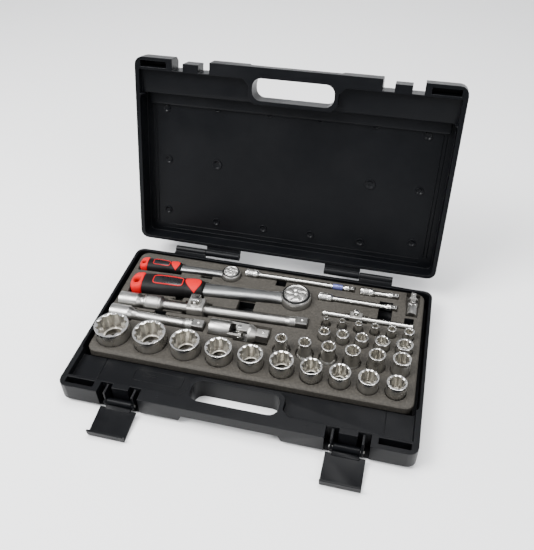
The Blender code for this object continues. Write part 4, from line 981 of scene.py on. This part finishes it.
# %% [markdown]
# ## Ratchets
# A ratchet reads as four materials: a grey shaft that narrows and then runs into a round head, a cast
# chrome dial with raised swirls, a black grip that is fullest near its tail, and red inlays. The shaft
# and grip are lofts, so their width and height are curves along the handle, and each section is a
# superellipse, which is an ellipse with squarer shoulders. The end cap goes round its hanging hole, so
# it is made as a ring and not as a loft.

# %% Loft tools
RATCHETS = {
    "half": dict(
        head=0.040, low=-0.009, high=0.011, dial=0.0322, out=0.002, neck=0.020, thick=0.013,
        grip=0.124, cap=0.2085, end=0.2264, wide=0.033, tall=0.025, stem=0.018, drive=HALF_INCH,
        long=0.0145,
        hole=0.008, tilt=math.radians(4.6),
    ),
    "quarter": dict(
        head=0.0264, low=-0.006, high=0.007, dial=0.0205, out=0.0015, neck=0.012, thick=0.008,
        grip=0.071, cap=0.1195, end=0.1315, wide=0.0215, tall=0.017, stem=0.0095, drive=QUARTER_INCH,
        long=0.0075,
        hole=0.005, tilt=math.radians(2.35),
    ),
}
GRIP_AT = np.array([0.0, 0.10, 0.30, 0.65, 1.0])
GRIP_WIDE = np.array([0.74, 0.86, 0.84, 1.0, 0.95])
GRIP_TALL = np.array([0.76, 0.86, 0.88, 1.0, 0.93])
GRIP_POWER, SHAFT_POWER = 2.4, 2.9
DIAL_GAP = 0.0005  # between the dial and its seat
SWIRLS, NOTCHES = 6, 36  # on the dial


def flowing(x, knots, values):
    """A smooth curve through the values: between two knots it is the cubic that has their heights and
    slopes."""
    slopes = np.gradient(values, knots)
    which = np.clip(np.searchsorted(knots, x) - 1, 0, len(knots) - 2)
    step = knots[which + 1] - knots[which]
    t = np.clip((x - knots[which]) / step, 0, 1)
    ends = (2 * t**3 - 3 * t**2 + 1) * values[which] + (3 * t**2 - 2 * t**3) * values[which + 1]
    return ends + ((t**3 - 2 * t**2 + t) * slopes[which] + (t**3 - t**2) * slopes[which + 1]) * step


def loft(x, half_wide, half_tall, middle, power, around=64):
    """Superellipse sections along X: each coordinate is a power of the cosine or sine times its half
    size."""
    angles = np.arange(around) / around * 2 * math.pi
    c, s = np.cos(angles), np.sin(angles)
    y = np.outer(half_wide, np.sign(c) * abs(c) ** (2 / power))
    z = np.outer(half_tall, np.sign(s) * abs(s) ** (2 / power)) + middle
    return np.stack([x[:, None] * np.ones(around), y, z], axis=-1)


def grip_halves(spec, x):
    """Half the grip's width and half its height at x, from the curves along it."""
    share = (-spec["grip"] - x) / (spec["cap"] - spec["grip"])
    wide = flowing(share, GRIP_AT, GRIP_WIDE) * spec["wide"] / 2
    return wide, flowing(share, GRIP_AT, GRIP_TALL) * spec["tall"] / 2


def grip_top(spec, x, y):
    """Height of the grip's upper surface: the superellipse solved for its height."""
    wide, tall = grip_halves(spec, x)
    crown = (1 - np.clip(abs(y) / wide, 0, 0.995) ** GRIP_POWER) ** (1 / GRIP_POWER)
    return (spec["low"] + spec["high"]) / 2 + tall * crown


print("grip widths in mm", [round(float(v * RATCHETS["half"]["wide"] * 1000), 1) for v in GRIP_WIDE])

# %% [markdown]
# ### Head, shaft and dial
# The head is turned like a socket, because it is a ring with a stem through it. The dial is a grid of
# rings whose height depends on the angle and the distance from its middle, so its swirls are real
# relief.

# %% Head, shaft and dial
def ratchet_head(spec):
    """A turned ring: up from the bore, round the outside, and down into the dish for the dial."""
    low, high, half = spec["low"], spec["high"], spec["head"] / 2
    dish = spec["dial"] / 2 + DIAL_GAP
    tall = high - low
    bore = spec["stem"] / 2 + 0.0004
    corners = [(low + 0.0003, bore), (low, bore + 0.0003), (low, half * 0.84), (low + tall * 0.2, half)]
    corners += [(high - tall * 0.22, half)]
    corners += [
        (high - tall * 0.05, half * 0.93), (high, dish + 0.0006), (high, dish), (high - 0.0028, dish),
    ]
    corners += [(high - 0.0028, bore)]
    return turned(round_rows(corners, tall * 0.09, 4), 96)


def ratchet_shaft(spec):
    """A loft whose width and height flow through six sections, from inside the grip to inside the
    head."""
    middle = (spec["low"] + spec["high"]) / 2
    grip, head = -spec["grip"], -spec["head"]
    knots = np.array([grip - 0.006, grip, grip * 0.72, grip * 0.45, head * 0.62, head * 0.36])
    wide = np.array([0.50, 0.50, 0.46, 0.413, 0.425, 0.50]) * spec["neck"] * 1.02
    tall = np.array([0.50, 0.50, 0.50, 0.47, 0.46, 0.50]) * spec["thick"]
    x = np.linspace(knots[0], knots[-1], 60)
    return loft(x, flowing(x, knots, wide), flowing(x, knots, tall), middle, SHAFT_POWER)


def ratchet_dial(spec, sides=144):
    """Notches round the edge. The top rises where the largest of three shapes does: six swirls inside a
    band, the rim, and the hub."""
    high, half = spec["high"], spec["dial"] / 2
    top = high + spec["out"]
    angles = np.arange(sides)[None, :] / sides * 2 * math.pi
    side = [
        [high - 0.0026, half * 0.97], [high - 0.0006, half], [top - 0.0010, half],
        [top - 0.0004, half * 0.965],
    ]
    side = np.array(side)
    notch = np.clip(np.cos(NOTCHES * angles) * 0.5 + 0.2, 0, 1) * half * 0.035
    skirt_radius = side[:, 1:2] - notch
    share = np.linspace(0.93, 0.05, 26)[:, None]
    swirl = np.clip((np.cos(SWIRLS * angles + 3.5 * share) + 0.62) * 3.0, 0, 1)
    band = np.clip(1 - (abs(share - 0.56) / 0.30) ** 4, 0, 1)
    rim = np.clip((share - 0.86) / 0.05, 0, 1)
    hub = np.clip((0.18 - share) / 0.05, 0, 1)
    relief = np.maximum(
        np.maximum(swirl * band, rim * np.ones_like(angles)), hub * np.ones_like(angles),
    )
    height = top - 0.0009 + 0.0009 * relief * np.ones_like(angles) + 0.0006 * (1 - share**2)
    radius = np.vstack([skirt_radius, share * half * np.ones_like(angles)])
    along = np.vstack([side[:, :1] * np.ones_like(angles), height])
    return np.stack([radius * np.cos(angles), radius * np.sin(angles), along], axis=-1)


def drive_stub(spec):
    """A round stem under the head, and the square drive with its chamfer."""
    under = spec["low"] - 0.0005
    bottom = under - spec["long"]
    half = spec["drive"] / 2
    root, stem = spec["low"] + 0.004, spec["stem"]
    rows = round_rows(
        [(root, stem * 0.3), (root, stem / 2), (under, stem / 2), (under, stem * 0.45)], 0.0004,
    )
    rows += [
        ("square", under - 0.0001, half), ("square", bottom + 0.001, half),
        ("square", bottom, half - 0.0008),
    ]
    return turned(rows, 96)


print("a dial has", ratchet_dial(RATCHETS["half"]).shape[:2], "rings and points")

# %% [markdown]
# ### Grip, inlays and end cap
# Two plastics are moulded over the steel: a soft black one, and a hard red one that lies flush in it.
# Each inlay is a thin skin that takes its height from the grip's own formula, so that it follows the
# curve under it.

# %% Grip, inlays and end cap
def ratchet_grip(spec):
    """The superellipse loft of the grip, drawn in at its nose by a short exponential."""
    ends = spec["cap"] - spec["grip"]
    x = -spec["grip"] - np.linspace(0, ends - 0.0004, 60)
    wide, tall = grip_halves(spec, x)
    nose = 1 - 0.16 * np.exp(-(-spec["grip"] - x) / (ends * 0.02))
    return loft(x, wide * nose, tall * nose, (spec["low"] + spec["high"]) / 2, GRIP_POWER)


def inlay(spec, outline, proud):
    """A thin skin over the grip: rings that grow from a point to the outline, and an edge that dives
    below it."""
    share = np.concatenate([np.linspace(0.04, 0.94, 12), [0.98, 1.0, 1.0]])[:, None]
    lift = np.concatenate([np.full(12, proud), [proud * 0.85, 0.0, -0.0016]])[:, None]
    middle = outline.mean(axis=0)
    x = middle[0] + (outline[:, 0] - middle[0]) * share
    y = middle[1] + (outline[:, 1] - middle[1]) * share
    return np.stack([x, y, grip_top(spec, x, y) + lift], axis=-1)


def heart(spec, around=64):
    """A pick shape: half a circle whose radius grows with a power of the way across, and dips a little
    at the top."""
    turn = np.arange(around) / around * 2 * math.pi
    back = (np.sin(turn) + 1) / 2
    long = (spec["cap"] - spec["grip"]) * 0.172
    lobes = 0.16 + 0.84 * back**0.62 - 0.12 * np.exp(-(((back - 1) / 0.10) ** 2))
    x = -spec["grip"] - long * 1.10 + long * np.cos(turn) * lobes + long * 0.30 * (1 - back) ** 2
    half = spec["wide"] / 2 * 0.80
    return np.column_stack([x, half * (2 * back - 1.02) * 0.98])


def label_outline(spec, around=96):
    """A superellipse with a high power, which is a rectangle with rounded corners."""
    turn = np.arange(around) / around * 2 * math.pi
    run = spec["cap"] - spec["grip"]
    c, s = np.cos(turn), np.sin(turn)
    x = -spec["grip"] - run * 0.585 + run * 0.240 * np.sign(c) * abs(c) ** 0.34
    y = spec["wide"] * 0.235 * np.sign(s) * abs(s) ** 0.34
    return np.column_stack([x, y])


def piping(spec, outline, radius):
    """A round cord laid along an outline on the grip."""
    x, y = outline[:, 0], outline[:, 1]
    return cord(np.column_stack([x, y, grip_top(spec, x, y) + radius * 0.3]), radius)


def cord(line, radius):
    """A closed round cord: each section stands square to the line, on its sideways and upwards
    directions."""
    along = np.roll(line, -1, axis=0) - np.roll(line, 1, axis=0)
    along /= np.linalg.norm(along, axis=1, keepdims=True) + 1e-12
    side = np.cross(along, [0, 0, 1.0])
    side /= np.linalg.norm(side, axis=1, keepdims=True) + 1e-12
    up = np.cross(side, along)
    turn = np.arange(10) / 10 * 2 * math.pi
    ring = side[:, None] * np.cos(turn)[None, :, None] + up[:, None] * np.sin(turn)[None, :, None]
    return line[:, None] + ring * radius


def end_cap(spec, around=64, section=28):
    """A ring round the hanging hole: from the hole's edge over the top to the outline, and back
    underneath."""
    middle = (spec["low"] + spec["high"]) / 2
    centre = -spec["cap"] - (spec["end"] - spec["cap"]) * 0.52
    turn = np.arange(around)[:, None] / around * 2 * math.pi
    c, s = np.cos(turn), np.sin(turn)
    ahead, behind = -spec["cap"] + 0.002 - centre, spec["end"] + centre
    long = np.where(c > 0, ahead, behind)
    power = np.where(c > 0, 5.0, 2.3)
    wide = spec["wide"] * 0.475
    outline = (abs(c / long) ** power + abs(s / wide) ** power) ** (-1 / power)
    lap = np.arange(section)[None, :] / section * 2 * math.pi
    hole = spec["hole"] / 2
    out = hole + (outline - hole) * (0.5 - 0.5 * np.cos(lap))
    x = centre + out * c
    tall = np.interp(-x, [spec["cap"], spec["end"]], [spec["tall"] * 0.465, spec["tall"] * 0.27])
    z = middle + tall * np.sign(np.sin(lap)) * abs(np.sin(lap)) ** 0.62
    return np.stack([x, out * s, z], axis=-1)


print("an end cap has", end_cap(RATCHETS["half"]).shape[:2], "spokes and points")

# %% [markdown]
# ### Nine pieces for each ratchet
# Both ratchets are made by one function, from a row for each piece. A row names the shells, the
# finishes, the body that the piece rides on, its slot, and whether it stands for a node.

# %% Put the ratchets together
def make_ratchet(kind):
    """Nine pieces, of which five stand for a node. The dial and the drive ride on bodies of their
    own."""
    spec, name = RATCHETS[kind], f"ratchet_{kind}"
    place = joints[name + "_drive_spin"]["pos_m"]
    place = (place[0], place[1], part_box(name + "_body")[1].z - spec["high"])
    label, high, dish = label_outline(spec), spec["high"], spec["dial"] / 2 + DIAL_GAP
    seat = [
        (high - 0.0030, dish - 0.0016), (high - 0.0024, dish - 0.0016), (high - 0.0024, dish - 0.0002),
    ]
    seat += [(high + 0.0003, dish), (high + 0.0003, dish * 1.11), (high - 0.0030, dish * 1.10)]
    body = [(ratchet_head(spec), True, 1), (ratchet_shaft(spec), False, 0)]
    rows = (
        ("_body", True, body, [shaft_grey, matt_chrome], "", "satin_chrome", 34),
        ("_grip", True, [(ratchet_grip(spec), False, 0)], [grip_black], "", "grip_black", 34),
        (
            "_label", False, [(inlay(spec, label, 0.00015), False, 0)], [label_black], "",
            "grip_black", 34,
        ),
        (
            "_label_edge", False, [(piping(spec, label, spec["wide"] * 0.020), True, 0)], [grip_red],
            "", "grip_red", 34,
        ),
        (
            "_inlay", False, [(inlay(spec, heart(spec), 0.0005), False, 0)], [grip_red], "",
            "grip_red", 34,
        ),
        ("_end_cap", True, [(end_cap(spec), True, 0)], [grip_red], "", "grip_red", 34),
        (
            "_dial", True, [(ratchet_dial(spec), False, 0)], [dial_chrome], "_dial", "polished_chrome",
            50,
        ),
        ("_drive", True, [(drive_stub(spec), False, 0)], [chrome], "_drive", "polished_chrome", 34),
        (
            "_dial_seat", False, [(turned(round_rows(seat, 0.0002), 96), True, 0)], [dial_dark], "",
            "satin_chrome", 34,
        ),
    )
    for part, is_node, shells, finishes, body_part, slot, sharp in rows:
        shells = [(placed(grid, place, spec["tilt"]), loop, look) for grid, loop, look in shells]
        stands_for = [name + part] if is_node else ()
        piece(
            name + part + "_finished" * is_node, shells, finishes, name + body_part, stands_for,
            sharp,
        )
    return place


for kind in ("half", "quarter"):
    print(kind, "ratchet's head is at", [round(v, 4) for v in make_ratchet(kind)])

# %% [markdown]
# ## The moulded case
# The case and tray already have their real walls, pockets and openings in the frame, cut from the
# tools' own sizes. What they lack is the small radius that every moulding has on its edges. A copy of
# each is joined up, the flat triangles of all but the tray are merged, and a Bevel modifier rounds what
# is sharp. That is better here than new grids, because the tray's pockets must keep fitting their
# tools.

# %% Soften the mouldings
MERGE, FLAT = 0.00003, math.radians(1.5)  # how near points are joined, and how even a flat is
SHARP = math.radians(30)  # edges that stay crisp
BEVELLED = math.radians(35)  # edges that are rounded
WELL_FLOOR = 0.011  # the finger wells' floor; faces that reach down to it are painted shade in the case's black
WELL_MATCH = 0.0002


def softened(node, body, finish, width, segments=2, merge_flats=True, well=None):
    """A merged, bevelled copy of a node. Faces that go down to the height of a well's floor take the
    case's black finish, as painted shade in the deep wells."""
    mesh = frame["nodes"][node].data.copy()
    work = bmesh.new()
    work.from_mesh(mesh)
    bmesh.ops.remove_doubles(work, verts=work.verts, dist=MERGE)
    if merge_flats:
        bmesh.ops.dissolve_limit(work, angle_limit=FLAT, verts=work.verts, edges=work.edges)
    work.to_mesh(mesh)
    work.free()
    mesh.name = node + "_finished"
    mesh.materials.clear()
    mesh.materials.append(finish)
    if well is not None:
        mesh.materials.append(case_black)
        lowest = [min(mesh.vertices[i].co.z for i in face.vertices) for face in mesh.polygons]
        mesh.polygons.foreach_set(
            "material_index", (abs(np.array(lowest) - well) < WELL_MATCH).astype(np.int32),
        )
    mesh.shade_smooth()
    mesh.set_sharp_from_angle(angle=SHARP)
    made = bpy.data.objects.new(node + "_finished", mesh)
    bpy.context.scene.collection.objects.link(made)
    soften = made.modifiers.new("soft_edges", "BEVEL")
    soften.width = width
    soften.segments = segments
    soften.limit_method = "ANGLE"
    soften.angle_limit = BEVELLED
    soften.use_clamp_overlap = False
    soften.harden_normals = True
    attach(made, body)
    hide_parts(node)
    return made


softened("case_base", "case_base", case_black, 0.0006, 3)
softened("case_lid", "case_lid", lid_black, 0.0006, 3)
# The finger wells' floors, and the tray walls that reach down to them, are painted shade in the case's
# black.
softened("tray", "case_base", tray_grey, 0.0005, merge_flats=False, well=WELL_FLOOR)
for side in ("left", "right"):
    softened(f"latch_{side}", f"latch_{side}", latch_black, 0.0005)
    softened(f"latch_pin_{side}", "case_base", pin_steel, 0.0003)
    softened(f"hinge_pin_{side}", "case_base", pin_steel, 0.0003)
print("mouldings softened")

# %% [markdown]
# ## Marks inside the lid
# A lid like this shows the round marks of the mould's ejector pins, and a low ledge along its front
# wall. They are easiest to place in the lid's own measures: across, the distance from the hinge, and
# the depth. One function turns those measures to where the open lid stands.

# %% Lid measures
hinge = joints["lid_hinge"]
HINGE_Y, HINGE_Z = hinge["pos_m"][1], hinge["pos_m"][2]
LID_OPEN = math.radians(hinge["range_deg"][1])
PANEL = 0.0238  # the inner face above the hinge line when shut
SHORT, LARGE = 0.0056, 0.0072
MARKS = (
    (-0.1759, 0.1954, SHORT), (-0.1045, 0.2022, SHORT), (-0.0332, 0.2022, SHORT), (
        0.0337, 0.2032, SHORT,
    ),
    (0.1051, 0.2028, SHORT), (0.1717, 0.1954, SHORT), (-0.1739, 0.1241, SHORT), (
        -0.1759, 0.0489, SHORT,
    ),
    (-0.1036, 0.0396, SHORT), (-0.0342, 0.0395, SHORT), (0.0337, 0.0407, SHORT), (
        0.1036, 0.0398, SHORT,
    ),
    (0.1729, 0.0492, SHORT), (-0.1036, 0.1246, LARGE), (0.1075, 0.1241, LARGE), (0.1720, 0.1231, SHORT),
)


def on_lid(grid):
    """From (across, distance from the hinge, height when shut) to the open lid: a turn about the hinge
    line."""
    y, z = -grid[..., 1], grid[..., 2]
    c, s = math.cos(-LID_OPEN), math.sin(-LID_OPEN)
    return np.stack([grid[..., 0], HINGE_Y + y * c - z * s, HINGE_Z + y * s + z * c], axis=-1)


def pin_mark(across, along, radius):
    """A low disc with a dished middle."""
    top = PANEL - 0.0015
    corners = [
        (PANEL + 0.0004, 0.0006), (PANEL + 0.0004, radius), (top, radius - 0.0006),
        (top, radius - 0.0012),
    ]
    corners += [(PANEL - 0.0002, radius * 0.45), (PANEL - 0.0002, 0.0006)]
    return on_lid(turned(round_rows(corners, 0.0003), 40) + np.array([across, along, 0]))


marks = [(pin_mark(*mark), False, 0) for mark in MARKS]
piece("lid_pin_marks", marks, [lid_black], "case_lid")


def bar_grid(left, right, near, far, low, high, radius):
    """A straight moulded rib along X: a superellipse section, carried from left to right, with drawn-in
    ends."""
    x = np.array(
        [left, left + radius * 0.3, left + radius, right - radius, right - radius * 0.3, right]
    )
    shrink = np.array([0.80, 0.95, 1.0, 1.0, 0.95, 0.80])
    grid = loft(x, (far - near) / 2 * shrink, (high - low) / 2 * shrink, (low + high) / 2, 6.0, 40)
    grid[..., 1] += (near + far) / 2
    return grid


ledge = [
    (on_lid(bar_grid(-0.1985, 0.1985, 0.2010, 0.2185, PANEL - 0.0045, PANEL + 0.0005, 0.002)), False, 0)
]
piece("lid_ledge", ledge, [lid_black], "case_lid")
print("lid marks", len(MARKS))

# %% [markdown]
# ### Beads
# Thin raised lines stiffen the lid's walls at the sides and near the hinge. A bead is a round bar that
# lies half in the wall, with ends drawn in.

# %% Beads inside the lid
def straight_bead(start, end, radius, around=12):
    """A round bead from start to end, whose ends are drawn in over a radius."""
    start, end = np.array(start), np.array(end)
    length = np.linalg.norm(end - start)
    along = (end - start) / length
    side = np.cross(along, [0, 0, 1.0])
    steps = np.array(
        [0.0, 0.3, 1.0, length / radius - 1.0, length / radius - 0.3, length / radius]
    ) * radius
    size = np.array([0.3, 0.75, 1.0, 1.0, 0.75, 0.3]) * radius
    turn = np.arange(around) / around * 2 * math.pi
    ring = side[None, :] * np.cos(turn)[:, None] + np.array([0, 0, 1.0]) * np.sin(turn)[:, None]
    return start + along * steps[:, None, None] + ring[None] * size[:, None, None]


SIDE_BEADS = (0.1905, 0.1950)  # across, on each side
REAR_BEADS = (0.0205, 0.0270)  # from the hinge
beads = []
for mirror in (-1, 1):
    for across in SIDE_BEADS:
        beads.append(
            straight_bead((mirror * across, 0.030, PANEL), (mirror * across, 0.198, PANEL), 0.0007)
        )
for along in REAR_BEADS:
    beads.append(straight_bead((-0.186, along, PANEL), (0.186, along, PANEL), 0.0006))
piece(
    "lid_beads", [(on_lid(bead), False, 0) for bead in beads], [lid_black], "case_lid",
)
print("beads", len(beads))

# %% [markdown]
# ### The frame outside
# The shut lid shows a double line round its middle. Each line is a thin cord along a superellipse,
# which has soft corners and no joints.

# %% Frame on the lid's outside
OUTSIDE = 0.0263  # the lid's outer face above the hinge line when shut
FRAME_HALF, FRAME_NEAR, FRAME_FAR = 0.178, 0.030, 0.190


def rounded_field(left, right, near, far, height, around=96):
    """A superellipse outline with a high power, which is nearly a rectangle."""
    turn = np.arange(around) / around * 2 * math.pi
    c, s = np.cos(turn), np.sin(turn)
    x = (left + right) / 2 + (right - left) / 2 * np.sign(c) * abs(c) ** 0.22
    y = (near + far) / 2 + (far - near) / 2 * np.sign(s) * abs(s) ** 0.22
    return np.column_stack([x, y, np.full(around, height)])


outside = []
for inset in (0.0, 0.006):
    sizes_in = (inset - FRAME_HALF, FRAME_HALF - inset, FRAME_NEAR + inset, FRAME_FAR - inset)
    outside.append((on_lid(cord(rounded_field(*sizes_in, OUTSIDE), 0.0007)), True, 0))
piece("lid_outside_frame", outside, [lid_black], "case_lid")
print("frame lines", len(outside))

# %% [markdown]
# ## Marks on the front shelf
# The base has a shelf in front of the tray, with a framed field for the owner's name, a moulded step
# near each end, and two small screw heads in the front rim. They are low, but they catch the light on
# an otherwise plain surface.

# %% Shelf field, steps and screws
SHELF_TOP, RIM_TOP = 0.0200, 0.0295

field = [(cord(rounded_field(-0.1300, -0.0685, -0.0945, -0.0780, SHELF_TOP), 0.00045), True, 0)]
for near in (-0.0835, -0.0865):
    field.append(
        (straight_bead((-0.1190, near, SHELF_TOP), (-0.1010, near, SHELF_TOP), 0.0004), False, 0)
    )
for mirror in (-1, 1):
    across = mirror * 0.1713
    field.append(
        (straight_bead((across, -0.1085, SHELF_TOP), (across, -0.0715, SHELF_TOP), 0.0006), False, 0)
    )
piece("shelf_field", field, [case_black], "case_base")


def screw_head(x, y):
    """A low dome with a slot-like dimple in its middle."""
    corners = [(-0.0004, 0.0004), (-0.0004, 0.0020), (0.0003, 0.0019)]
    corners += [(0.0006, 0.0012), (0.0001, 0.0006), (0.0001, 0.0002)]
    return turned(round_rows(corners, 0.0003), 32) + np.array([x, y, RIM_TOP - 0.0003])


screws = [(screw_head(mirror * 0.0875, -0.1180), False, 0) for mirror in (-1, 1)]
piece("rim_screws", screws, [case_black], "case_base")
print("shelf pieces", len(field), "screws", len(screws))
